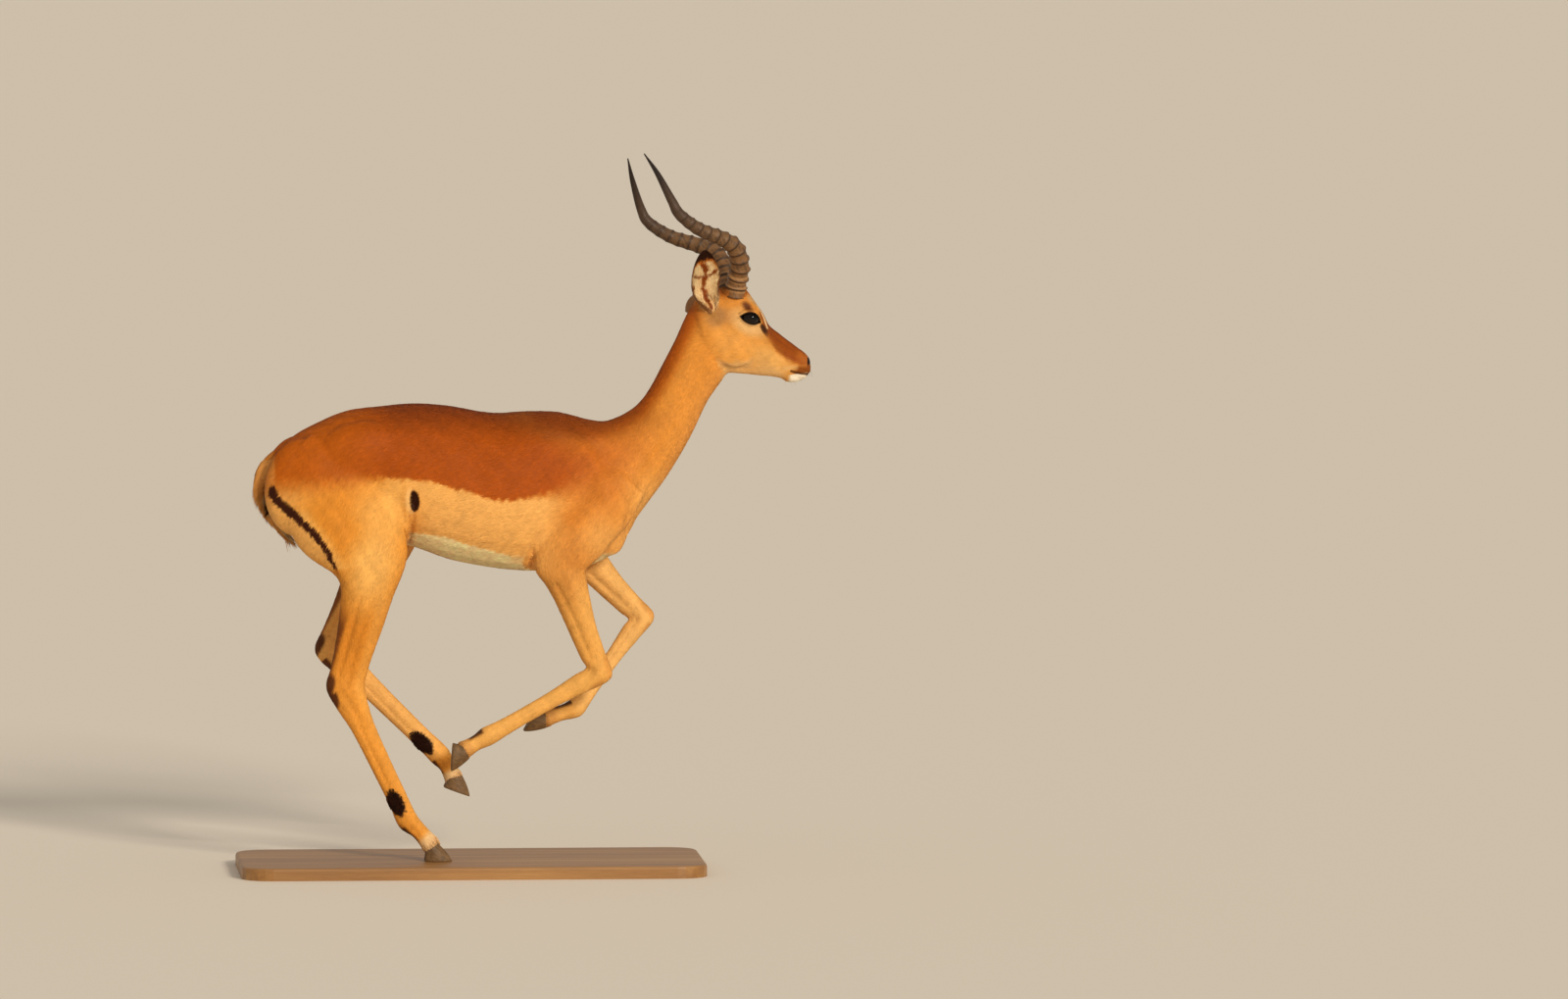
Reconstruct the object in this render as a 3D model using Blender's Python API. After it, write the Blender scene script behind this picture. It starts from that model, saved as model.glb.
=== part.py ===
"""Impala ram in a running stride: a life-size museum model on a plain display base.

The animal faces +X and its right side faces -Y. Sizes are in millimetres and turn into metres
where a mesh is made. The flesh is modelled whole: lofts along the trunk, neck, head and bones of
each leg, with muscles as ellipsoids, are fused by a voxel remesh and parted again by thin cuts.
Horns, ears, eyes, tail and hooves are pieces of their own, set in sockets of the flesh.
Impala have no dewclaws, so the fetlocks carry none.
"""
import math

import bmesh
import bpy
from mathutils import Matrix, Vector

MM = 0.001
GAP = 0.3                      # clearance between touching pieces

# Display base.
BASE_SIZE = (900.0, 420.0, 24.0)
BASE_CORNER = 60.0
BASE_EDGE = 5.0
SOLE_LEVEL = BASE_SIZE[2] + GAP

# Fineness of the fused flesh.
RING_POINTS = 28
VOXEL = 3.2
SMOOTHING_STEPS = 6
SWELL = 1.5                    # makes up for what the smoothing takes off
FLESH_TRIANGLES = 3200
HEAD_WEIGHT = 0.993            # below 1, the head and feet keep more of their triangles
BODY_WEIGHT = 1.0

# Trunk: x, back height, belly height, half width, egg (above 0 is wider at the top).
TRUNK = (
    (-374, 798, 742, 34, 0.00),
    (-345, 838, 700, 62, 0.05),
    (-300, 865, 668, 84, 0.10),
    (-240, 889, 655, 96, 0.10),
    (-180, 902, 645, 99, 0.06),
    (-110, 908, 629, 103, -0.02),
    (-40, 903, 604, 110, -0.06),
    (40, 889, 588, 112, -0.05),
    (110, 892, 581, 106, 0.00),
    (175, 890, 582, 95, 0.02),
    (230, 876, 590, 84, 0.00),
    (280, 868, 616, 70, -0.05),
    (318, 852, 668, 50, -0.05),
)

# Neck: nape point (x, z), throat point (x, z), half width.
NECK = (
    (232, 862, 300, 652, 72),
    (285, 880, 345, 711, 62),
    (323, 903, 388, 772, 53),
    (349, 938, 428, 840, 46),
    (374, 983, 458, 903, 41),
    (397, 1028, 476, 931, 38),
    (417, 1073, 494, 956, 38),
    (431, 1098, 508, 982, 38),
)

# Head frame: origin between the ears, u forward, y left, v up; it turns and leans a little.
HEAD_ORIGIN = (461, 0, 1074)
HEAD_TURN = math.radians(11)
HEAD_LEAN = math.radians(-7)
# Head: upper profile (u, v), lower profile (u, v), half width, egg.
HEAD = (
    (-34, 16, -6, -80, 34, 0.05),
    (-14, 42, 14, -102, 41, 0.10),
    (26, 54, 42, -111, 45, 0.20),
    (68, 58, 68, -114, 48, 0.28),
    (90, 31, 88, -116, 49, 0.28),
    (107, 7, 104, -118, 45, 0.22),
    (119, -17, 117, -119, 38, 0.12),
    (140, -34, 134, -121, 31, 0.02),
    (161, -50, 152, -126, 27, -0.08),
    (180, -64, 169, -131, 25, -0.12),
    (193, -74, 187, -126, 22, -0.10),
    (203, -87, 201, -114, 14, 0.00),
)
# Ellipsoids that shape the head: centre (u, y, v), radii, pitch in degrees; y is mirrored.
HEAD_FORMS = (
    ((72, 37, 4), (27, 15, 20), -25),          # brow over the eye
    ((86, 36, -30), (32, 12, 10), -25),        # cheekbone under the eye
    ((46, 30, -62), (42, 16, 40), 0),          # chewing muscle
    ((47, 26, 36), (23, 19, 20), 0),           # pedicle of the horn
    ((-2, 34, 12), (18, 14, 20), 0),           # root of the ear
    ((185, 11, -88), (13, 10, 14), -25),       # wing of the nostril
    ((182, 13, -104), (19, 10, 11), -5),       # upper lip
    ((169, 6, -120), (21, 13, 12), 8),         # chin
)
EYE_PLACE = (74.5, 38, -8.5)
EYE_RADIUS = 18

# Horn: u, half spread y, v, radius, from the skull to the tip.
HORN = (
    (49, 26, 36, 20),
    (51, 34, 60, 20),
    (52, 56, 95, 19.5),
    (39, 76, 126, 17.5),
    (11, 91, 143, 15.5),
    (-40, 107, 162, 13.4),
    (-80, 118, 190, 11.4),
    (-95, 119, 216, 9.2),
    (-116, 97, 270, 5.4),
    (-133, 64, 312, 1.2),
)
HORN_RINGS = 42
HORN_SIDES = 8
HORN_RIDGES = 13
RIDGED_LENGTH = 0.66           # share of the horn that carries ridges
RIDGE_HEIGHT = 0.18            # of the horn's own radius

# Ear: half width and wall; then root, tip and the way it opens, in the head frame.
EAR_WIDTH = 29
EAR_WALL = 3.2
EAR_RIGHT = ((-3, -36, 12), (-27, -90, 127), (0.25, -0.95, 0.0))
EAR_LEFT = ((1, 36, 12), (30, 156, 44), (0.40, 0.0, -0.90))

# Tail: x, z, half depth, half width, hanging behind the buttocks.
TAIL = (
    (-346, 812, 22, 18),
    (-374, 800, 18, 18),
    (-395, 783, 18, 19),
    (-408, 756, 17, 20),
    (-408, 728, 16, 19),
    (-401, 700, 16, 17),
    (-386, 674, 14, 14),
    (-364, 651, 9, 10),
    (-337, 632, 2.5, 4),
)

# Bones of each leg: joint centres (x, y, z). The right side has negative y.
HIND_RIGHT = ((-300, -54, 791), (-178, -78, 605), (-245, -70, 364), (-125, -65, 102), (-82, -64, 57))
HIND_LEFT = ((-300, 54, 791), (-150, 78, 636), (-262, 70, 426), (-56, 64, 217), (-31, 62, 176))
FORE_RIGHT = ((285, -58, 732), (162, -68, 599), (246, -70, 389), (29, -66, 264), (-14, -65, 240))
FORE_LEFT = ((298, 58, 732), (188, 70, 632), (337, 74, 484), (207, 46, 309), (148, 43, 291))

# Flesh along the bones: place (0 is the first joint, 1 the second...), then how far the
# outline stands in front of and behind the bone, and the half width.
HIND_FLESH = (
    (-0.25, 26, 40, 20),
    (0.0, 74, 98, 40),
    (0.5, 112, 116, 47),
    (0.8, 82, 96, 43),
    (1.0, 54, 100, 38),
    (1.25, 43, 63, 31),
    (1.5, 40, 49, 26),
    (1.75, 35, 41, 19),
    (1.9, 34, 38, 18),
    (2.0, 38, 38, 20),
    (2.12, 29, 33, 18),
    (2.3, 21, 25, 14),
    (2.6, 19.5, 21, 13.5),
    (2.85, 20, 19, 14),
    (3.0, 21, 20, 17),
    (3.5, 18, 13, 14.5),
    (4.0, 18, 17, 18.5),
    (4.35, 18, 16, 18.5),
)
FORE_FLESH = (
    (-0.2, 36, 50, 30),
    (0.0, 48, 70, 36),
    (0.5, 56, 72, 36),
    (1.0, 60, 44, 32),
    (1.15, 50, 33, 30),
    (1.3, 42, 29, 28),
    (1.6, 30, 26, 23),
    (1.85, 26, 23, 21),
    (2.0, 27, 22, 22),
    (2.15, 21, 20, 18),
    (2.4, 16.5, 16, 13.5),
    (2.7, 15.5, 15.5, 13),
    (2.88, 16.5, 17, 14.5),
    (3.0, 17.5, 20, 17.5),
    (3.5, 14, 15, 14.5),
    (4.0, 17, 17, 18.5),
    (4.35, 18, 16, 18.5),
)

# Muscles of the trunk: centre (x, y, z), radii, pitch in degrees; y is mirrored.
MUSCLES = (
    ((246, 52, 770), (56, 24, 108), 24),       # shoulder blade and its muscle
    ((240, 60, 690), (98, 30, 58), 40),        # upper arm
    ((264, 20, 672), (40, 34, 62), 10),        # breast
    ((-322, 46, 749), (69, 42, 96), -4),       # buttock
    ((-215, 56, 812), (92, 42, 66), 12),       # croup and point of the hip
    ((-172, 66, 668), (44, 26, 84), -6),       # fold of the flank
)
SCROTUM = ((-236, 0, 640), (25, 22, 30), 0)

# Hoof: one claw seen from the side, in its own frame with the sole level.
SOLE_LENGTH = 52
TOE_HEIGHT = 34
TOE_SETBACK = 28               # the front wall leans back by this much at the coronet
HEEL_HEIGHT = 14
HEEL_OVERHANG = 7
CLAW_HALF_WIDTH = 10.5
CLAW_SPACING = 11.6
HOOF_PITCH = {"hind_right": 0, "hind_left": -20, "fore_right": -94, "fore_left": -122}
TRIM_BACK = 45                 # the block that trims a foot reaches this far back,
TRIM_FRONT = 75                # this far forward,
TRIM_BELOW = 60                # below the sole
TRIM_ASIDE = 45                # and to each side

# Thin cuts: centre (x, y, z), normal (x, z), half lengths in the plane (across y, along).
# The cuts of the legs name the bones, the place along them and the half length along.
CUT_THICKNESS = 0.4
CLEAR_OF_MIDLINE = 4           # the leg cuts stop this far from the middle of the body
CUTS = (
    ((469, 0, 1021), (0.85, 0.53), 90, 116),          # head from neck
    ((316, 0, 796), (0.946, 0.323), 120, 150),        # neck from chest
    ((72, 0, 740), (1.0, 0.0), 160, 220),             # chest from belly
    ((-88, 0, 770), (1.0, 0.0), 160, 230),            # belly from hindquarters
    ((-230, 85, 618), (-0.26, -0.966), 77, 190),      # left hind leg under the thigh
    ((-230, -85, 618), (-0.26, -0.966), 77, 190),     # right hind leg under the thigh
)
LEG_CUTS = (
    (HIND_RIGHT, 2.17, 62),
    (HIND_LEFT, 2.17, 62),
    (FORE_RIGHT, 1.12, 76),
    (FORE_LEFT, 1.46, 68),
    (FORE_RIGHT, 2.14, 46),
    (FORE_LEFT, 2.14, 46),
)

# Colours of the finished animal (linear), with roughness.
RUST = (0.38, 0.12, 0.03)
TAN = (0.62, 0.34, 0.12)
CREAM = (0.78, 0.66, 0.45)
EAR_TAN = (0.60, 0.38, 0.18)
HORN_GREY = (0.10, 0.075, 0.055)
EYE_BLACK = (0.01, 0.007, 0.005)
HOOF_GREY = (0.05, 0.042, 0.036)
BASE_OAK = (0.30, 0.19, 0.10)


def finish(name, colour, roughness):
    """Give one named sub-part its own Principled material."""
    obj = bpy.data.objects[name]
    material = bpy.data.materials.new(name + "_finish")
    material.use_nodes = True
    shader = material.node_tree.nodes["Principled BSDF"]
    shader.inputs["Base Color"].default_value = (*colour, 1.0)
    shader.inputs["Roughness"].default_value = roughness
    obj.data.materials.clear()
    obj.data.materials.append(material)


def new_object(name, mesh):
    """Link a mesh into the scene as one object."""
    obj = bpy.data.objects.new(name, mesh)
    bpy.context.scene.collection.objects.link(obj)
    return obj


def object_from(name, bm):
    """Turn a bmesh in millimetres into an object in metres, with its faces pointing out."""
    bmesh.ops.recalc_face_normals(bm, faces=bm.faces)
    bmesh.ops.transform(bm, matrix=Matrix.Scale(MM, 4), verts=bm.verts)
    mesh = bpy.data.meshes.new(name)
    bm.to_mesh(mesh)
    bm.free()
    return new_object(name, mesh)


def curve_through(rows, steps):
    """Catmull-Rom curve through rows of numbers, with steps new rows for each span."""
    rows = [tuple(float(value) for value in row) for row in rows]
    ends = [tuple(2 * a - b for a, b in zip(rows[0], rows[1]))]
    tail_end = [tuple(2 * a - b for a, b in zip(rows[-1], rows[-2]))]
    padded = ends + rows + tail_end
    found = []
    for i in range(1, len(padded) - 2):
        p0, p1, p2, p3 = padded[i - 1:i + 3]
        for step in range(steps):
            t = step / steps
            row = []
            for a, b, c, d in zip(p0, p1, p2, p3):
                cubic = (3 * b - 3 * c + d - a) * t ** 3
                square = (2 * a - 5 * b + 4 * c - d) * t ** 2
                row.append(0.5 * (2 * b + (c - a) * t + square + cubic))
            found.append(tuple(row))
    found.append(rows[-1])
    return found


def loft(bm, rings):
    """Skin a list of equal rings of points and close both ends.

    The sides are triangles, so that a cutter grown from the same rings keeps its clearance."""
    made = [[bm.verts.new(point) for point in ring] for ring in rings]
    count = len(made[0])
    for lower, upper in zip(made, made[1:]):
        for i in range(count):
            j = (i + 1) % count
            bm.faces.new((lower[i], lower[j], upper[j]))
            bm.faces.new((lower[i], upper[j], upper[i]))
    bm.faces.new(list(reversed(made[0])))
    bm.faces.new(made[-1])


def egg_ring(front, back, side, half_width, egg, count=RING_POINTS):
    """Ring between a front and a back point; egg widens the front end of the oval."""
    middle = (front + back) / 2
    half = (front - back) / 2
    ring = []
    for i in range(count):
        angle = math.tau * i / count
        depth = math.cos(angle)
        width = half_width * math.sin(angle) * (1 + egg * depth)
        ring.append(middle + half * depth + side * width)
    return ring


def head_matrix():
    """Place of the head frame in the model."""
    turn = Matrix.Rotation(HEAD_TURN, 4, "Z")
    lean = Matrix.Rotation(HEAD_LEAN, 4, "X")
    return Matrix.Translation(HEAD_ORIGIN) @ turn @ lean


def in_head(point):
    """Point of the head frame as a point of the model."""
    return head_matrix() @ Vector(point)


def add_trunk(bm):
    """Barrel of the body from the rump to the breast."""
    side = Vector((0, 1, 0))
    rings = []
    for x, top, bottom, half_width, egg in curve_through(TRUNK, 3):
        rings.append(egg_ring(Vector((x, 0, top)), Vector((x, 0, bottom)), side, half_width, egg))
    loft(bm, rings)


def add_neck(bm):
    """Neck from inside the shoulders to inside the back of the head."""
    side = Vector((0, 1, 0))
    rings = []
    for nape_x, nape_z, throat_x, throat_z, half_width in curve_through(NECK, 3):
        nape = Vector((nape_x, 0, nape_z))
        throat = Vector((throat_x, 0, throat_z))
        rings.append(egg_ring(nape, throat, side, half_width, -0.08))
    loft(bm, rings)


def add_head(bm):
    """Skull, muzzle and jaw as one loft, then the forms on it."""
    side = head_matrix().to_3x3() @ Vector((0, 1, 0))
    rings = []
    for top_u, top_v, low_u, low_v, half_width, egg in curve_through(HEAD, 3):
        top = in_head((top_u, 0, top_v))
        low = in_head((low_u, 0, low_v))
        rings.append(egg_ring(top, low, side, half_width, egg))
    loft(bm, rings)
    for centre, radii, pitch in HEAD_FORMS:
        for mirror in (1, -1):
            place = (centre[0], centre[1] * mirror, centre[2])
            add_ellipsoid(bm, head_matrix(), place, radii, pitch)


def add_ellipsoid(bm, frame, centre, radii, pitch):
    """Smooth egg-like mass; pitch turns its nose down when negative."""
    turn = Matrix.Rotation(math.radians(-pitch), 4, "Y")
    place = frame @ Matrix.Translation(centre) @ turn @ Matrix.Diagonal((*radii, 1.0))
    bmesh.ops.create_uvsphere(bm, u_segments=24, v_segments=16, radius=1.0, matrix=place)


def bone_frame(joints, place):
    """Point on a chain of bones and the forward direction across it in the side view."""
    last = len(joints) - 2
    segment = min(max(math.floor(place), 0), last)
    start = Vector(joints[segment])
    end = Vector(joints[segment + 1])
    share = place - segment
    point = start.lerp(end, share)
    along = (end - start).normalized()
    if abs(share) < 1e-6 and segment > 0:
        before = (start - Vector(joints[segment - 1])).normalized()
        along = (along + before).normalized()
    front = Vector((-along.z, 0, along.x)).normalized()
    return point, front, along


def add_leg(bm, joints, flesh):
    """Flesh of one leg around its chain of bones."""
    side = Vector((0, 1, 0))
    rows = []
    for place, front_reach, back_reach, half_width in flesh:
        point, front, _ = bone_frame(joints, place)
        fore = point + front * front_reach
        aft = point - front * back_reach
        rows.append((*fore, *aft, half_width))
    rings = []
    for row in curve_through(rows, 4):
        rings.append(egg_ring(Vector(row[0:3]), Vector(row[3:6]), side, row[6], 0.0))
    loft(bm, rings)


def horn_rings(mirror, grow):
    """Rings of one horn: a tapering curve with raised rings on its ridged length."""
    path = curve_through(HORN, 12)
    lengths = [0.0]
    for a, b in zip(path, path[1:]):
        lengths.append(lengths[-1] + (Vector(b[:3]) - Vector(a[:3])).length)
    rings = []
    for k in range(HORN_RINGS):
        share = k / (HORN_RINGS - 1)
        target = share * lengths[-1]
        i = max(j for j in range(len(path) - 1) if lengths[j] <= target + 1e-9)
        blend = (target - lengths[i]) / (lengths[i + 1] - lengths[i])
        row = Vector(path[i]).lerp(Vector(path[i + 1]), min(blend, 1.0))
        here = Vector(row[:3])
        along = (Vector(path[i + 1][:3]) - Vector(path[i][:3])).normalized()
        outward = Vector((0, 1, 0))
        fore = outward.cross(along).normalized()
        outward = along.cross(fore).normalized()
        if k == 0:
            here -= along * grow
        fade = max(0.0, 1 - share / RIDGED_LENGTH) ** 0.3
        wave = math.cos(math.tau * HORN_RIDGES * share / RIDGED_LENGTH)
        radius = row[3] * (1 + RIDGE_HEIGHT * 0.5 * fade * wave) + grow
        ring = []
        for n in range(HORN_SIDES):
            angle = math.tau * n / HORN_SIDES
            point = here + fore * radius * math.cos(angle) + outward * radius * math.sin(angle)
            ring.append(in_head((point.x, point.y * mirror, point.z)))
        rings.append(ring)
    return rings


def make_horn(name, mirror, grow=0.0):
    """One horn, or with grow the cutter for its socket."""
    bm = bmesh.new()
    loft(bm, horn_rings(mirror, grow))
    return object_from(name, bm)


def make_ear(name, root, tip, opening, grow=0.0):
    """Leaf of the ear: a curled shell that closes into a stalk at its root."""
    root = Vector(root)
    along = (Vector(tip) - root).normalized()
    length = (Vector(tip) - root).length
    opening = Vector(opening)
    opening = (opening - along * opening.dot(along)).normalized()
    across = along.cross(opening).normalized()

    def bend(angle):
        return across * math.sin(angle) - opening * math.cos(angle)

    rings = []
    reach = 2 * grow / length
    for share in (-0.03 - reach, 0.08, 0.18, 0.32, 0.48, 0.64, 0.79, 0.91, 1.0 + reach):
        swell = math.sin(math.pi * min(1.0, 0.18 + 0.82 * max(share, 0.0)) ** 0.86) ** 0.75
        half = max(3.5, EAR_WIDTH * swell)
        curl = math.radians(165 - 75 * min(1.0, max(share, 0.0) * 2.2))
        radius = half / max(math.sin(min(curl, math.pi / 2)), 0.3)
        radius = radius if curl < math.pi / 2 else half
        curl += grow / radius
        wall = (EAR_WALL * (1 - 0.35 * max(share, 0.0))) / 2 + grow
        centre = root + along * length * share - opening * 4 * math.sin(math.pi * max(share, 0.0))
        ring = []
        steps = 6
        for k in range(steps + 1):
            angle = curl * (2 * k / steps - 1)
            ring.append(in_head(centre + bend(angle) * (radius + wall)))
        for k in range(steps, -1, -1):
            angle = curl * (2 * k / steps - 1)
            ring.append(in_head(centre + bend(angle) * max(radius - wall, 0.6)))
        rings.append(ring)
    bm = bmesh.new()
    loft(bm, rings)
    return object_from(name, bm)


def make_eye(name, mirror, grow=0.0):
    """Eyeball; the cutter for its socket is a little larger."""
    bm = bmesh.new()
    place = Matrix.Translation(in_head((EYE_PLACE[0], EYE_PLACE[1] * mirror, EYE_PLACE[2])))
    radius = EYE_RADIUS + grow
    bmesh.ops.create_uvsphere(bm, u_segments=14, v_segments=8, radius=radius, matrix=place)
    return object_from(name, bm)


def make_tail(name, grow=0.0):
    """Tail with its long hair, a flat tapering brush."""
    bm = bmesh.new()
    side = Vector((0, 1, 0))
    path = curve_through(TAIL, 1)
    rings = []
    for i, (x, z, half_depth, half_width) in enumerate(path):
        before = path[max(i - 1, 0)]
        after = path[min(i + 1, len(path) - 1)]
        along = Vector((after[0] - before[0], 0, after[1] - before[1])).normalized()
        back = Vector((-along.z, 0, along.x))
        centre = Vector((x, 0, z))
        reach = back * (half_depth + grow)
        rings.append(egg_ring(centre + reach, centre - reach, side, half_width + grow, 0.0, 10))
    loft(bm, rings)
    return object_from(name, bm)


def hoof_frame(foot, joints):
    """Frame of one foot: sole level at pitch 0, origin in the middle of the coronet."""
    coronet = Vector(joints[4])
    turn = Matrix.Rotation(math.radians(-HOOF_PITCH[foot]), 4, "Y")
    middle = Vector(((SOLE_LENGTH - TOE_SETBACK - HEEL_OVERHANG) / 2, 0, (TOE_HEIGHT + HEEL_HEIGHT) / 2))
    if HOOF_PITCH[foot] == 0:
        coronet.z = SOLE_LEVEL + middle.z
    return Matrix.Translation(coronet) @ turn @ Matrix.Translation(-middle)


def coronet_height(x):
    """Height of the coronet above the sole at one place along the hoof."""
    front = SOLE_LENGTH - TOE_SETBACK
    slope = (TOE_HEIGHT - HEEL_HEIGHT) / (front + HEEL_OVERHANG)
    return TOE_HEIGHT + slope * (x - front)


def make_claw(name, frame, side):
    """One of the two claws of a foot: full outside, flat towards the cleft, pointed in front."""
    bm = bmesh.new()
    rings = []
    count = 10
    for level in (0.0, 0.8, 1.0):
        heel = -HEEL_OVERHANG * (1 - level)
        toe = SOLE_LENGTH - TOE_SETBACK * (1 - level)
        tuck = 0.94 if level == 1.0 else 1.0
        ring = []
        for n in range(count):
            angle = math.tau * n / count
            forward = math.cos(angle)
            x = (heel + toe) / 2 + (toe - heel) / 2 * forward * tuck
            point_in = 1 - 0.5 * max(forward, 0.0) ** 2
            reach = math.sin(angle) * CLAW_HALF_WIDTH * point_in * tuck
            if reach < 0:
                reach *= 0.9
            y = side * (CLAW_SPACING + reach)
            z = (coronet_height(x) - GAP) * (1 - level)
            ring.append(frame @ Vector((x, y, z)))
        rings.append(ring)
    loft(bm, rings)
    return object_from(name, bm)


def make_hoof_block(name, frame):
    """Block that trims the flesh of a foot to the plane of the coronet."""
    bm = bmesh.new()
    rings = []
    outline = (
        (-TRIM_BACK, -TRIM_BELOW),
        (-TRIM_BACK, coronet_height(-TRIM_BACK)),
        (TRIM_FRONT, coronet_height(TRIM_FRONT)),
        (TRIM_FRONT, -TRIM_BELOW),
    )
    for y in (-TRIM_ASIDE, TRIM_ASIDE):
        rings.append([frame @ Vector((x, y, z)) for x, z in outline])
    loft(bm, rings)
    return object_from(name, bm)


def baked(obj):
    """Mesh of an object with its modifiers applied."""
    graph = bpy.context.evaluated_depsgraph_get()
    return bpy.data.meshes.new_from_object(obj.evaluated_get(graph), depsgraph=graph)


def replace_mesh(obj, mesh):
    """Swap in a new mesh and drop the modifiers that made it."""
    obj.modifiers.clear()
    obj.data = mesh


def fuse_flesh():
    """Fuse every flesh form into one closed mesh and thin it to the wanted triangles."""
    bm = bmesh.new()
    add_trunk(bm)
    add_neck(bm)
    add_head(bm)
    for joints, flesh in (
        (HIND_RIGHT, HIND_FLESH),
        (HIND_LEFT, HIND_FLESH),
        (FORE_RIGHT, FORE_FLESH),
        (FORE_LEFT, FORE_FLESH),
    ):
        add_leg(bm, joints, flesh)
    for centre, radii, pitch in MUSCLES:
        for mirror in (1, -1):
            place = (centre[0], centre[1] * mirror, centre[2])
            add_ellipsoid(bm, Matrix.Identity(4), place, radii, pitch)
    add_ellipsoid(bm, Matrix.Identity(4), *SCROTUM)
    body = object_from("body", bm)
    remesh = body.modifiers.new("Fuse", "REMESH")
    remesh.mode = "VOXEL"
    remesh.voxel_size = VOXEL * MM
    smooth = body.modifiers.new("Soften", "SMOOTH")
    smooth.iterations = SMOOTHING_STEPS
    swell = body.modifiers.new("Swell", "DISPLACE")
    swell.mid_level = 0.0
    swell.strength = SWELL * MM
    replace_mesh(body, baked(body))
    thin_out(body)
    return body


def thin_out(body):
    """Collapse the fused mesh, sparing the head and the feet."""
    group = body.vertex_groups.new(name="Keep")
    head = head_matrix().inverted()
    for vertex in body.data.vertices:
        place = vertex.co / MM
        local = head @ place
        fine = local.x > -25 or place.z < 150
        group.add([vertex.index], HEAD_WEIGHT if fine else BODY_WEIGHT, "REPLACE")
    triangles = sum(len(polygon.vertices) - 2 for polygon in body.data.polygons)
    decimate = body.modifiers.new("Thin", "DECIMATE")
    decimate.ratio = FLESH_TRIANGLES / triangles
    decimate.vertex_group = group.name
    decimate.use_collapse_triangulate = True
    replace_mesh(body, baked(body))
    body.vertex_groups.clear()


def subtract(body, cutter):
    """Take one cutter away from the flesh and remove it."""
    cut = body.modifiers.new("Cut", "BOOLEAN")
    cut.operation = "DIFFERENCE"
    cut.solver = "EXACT"
    cut.object = cutter
    replace_mesh(body, baked(body))
    bpy.data.objects.remove(cutter, do_unlink=True)


def make_slab(centre, normal, across, along):
    """Thin plate that parts the flesh along one plane."""
    normal = Vector((normal[0], 0, normal[1])).normalized()
    length = Vector((-normal.z, 0, normal.x))
    bm = bmesh.new()
    rings = []
    for sign in (-1, 1):
        ring = []
        for a, b in ((-1, -1), (1, -1), (1, 1), (-1, 1)):
            offset = normal * sign * CUT_THICKNESS / 2 + Vector((0, a * across, 0)) + length * b * along
            ring.append(Vector(centre) + offset)
        rings.append(ring)
    loft(bm, rings)
    return object_from("slab", bm)


def part_body(body):
    """Thin cuts between the named stretches of the body."""
    for centre, normal, across, along in CUTS:
        subtract(body, make_slab(centre, normal, across, along))
    for joints, place, reach in LEG_CUTS:
        point, _, along = bone_frame(joints, place)
        subtract(body, make_slab(point, (along.x, along.z), abs(point.y) - CLEAR_OF_MIDLINE, reach))


def name_pieces(body, markers):
    """Split the parted body into one object for each marker, by the nearest piece."""
    bm = bmesh.new()
    bm.from_mesh(body.data)
    islands = []
    left = set(bm.verts)
    while left:
        seed = min(left, key=lambda vertex: vertex.index)
        island = {seed}
        front = [seed]
        while front:
            vertex = front.pop()
            for edge in vertex.link_edges:
                other = edge.other_vert(vertex)
                if other not in island:
                    island.add(other)
                    front.append(other)
        left -= island
        islands.append(sorted(vertex.index for vertex in island))
    islands.sort(key=len, reverse=True)
    bm.verts.ensure_lookup_table()
    if len(islands) != len(markers):
        raise RuntimeError("the flesh came apart in %d pieces" % len(islands))
    for name, marker in markers:
        goal = Vector(marker) * MM

        def distance(island):
            return min((bm.verts[i].co - goal).length for i in island)

        best = min(islands, key=distance)
        keep = set(best)
        piece = bmesh.new()
        piece.from_mesh(body.data)
        piece.verts.ensure_lookup_table()
        gone = [vertex for vertex in piece.verts if vertex.index not in keep]
        bmesh.ops.delete(piece, geom=gone, context="VERTS")
        mesh = bpy.data.meshes.new(name)
        piece.to_mesh(mesh)
        piece.free()
        new_object(name, mesh)
    bm.free()
    bpy.data.objects.remove(body, do_unlink=True)


def make_base():
    """Plain rounded board under the animal."""
    length, width, thickness = BASE_SIZE
    bm = bmesh.new()
    place = Matrix.Translation((0, 0, thickness / 2)) @ Matrix.Diagonal((length, width, thickness, 1))
    bmesh.ops.create_cube(bm, size=1.0, matrix=place)
    upright = [e for e in bm.edges if abs(e.verts[0].co.z - e.verts[1].co.z) > 1]
    bmesh.ops.bevel(bm, geom=upright, offset=BASE_CORNER, segments=6, profile=0.5, affect="EDGES")
    rim = [e for e in bm.edges if all(abs(v.co.z - thickness) < 0.01 for v in e.verts)]
    bmesh.ops.bevel(bm, geom=rim, offset=BASE_EDGE, segments=2, profile=0.5, affect="EDGES")
    object_from("stand_base", bm)


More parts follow.
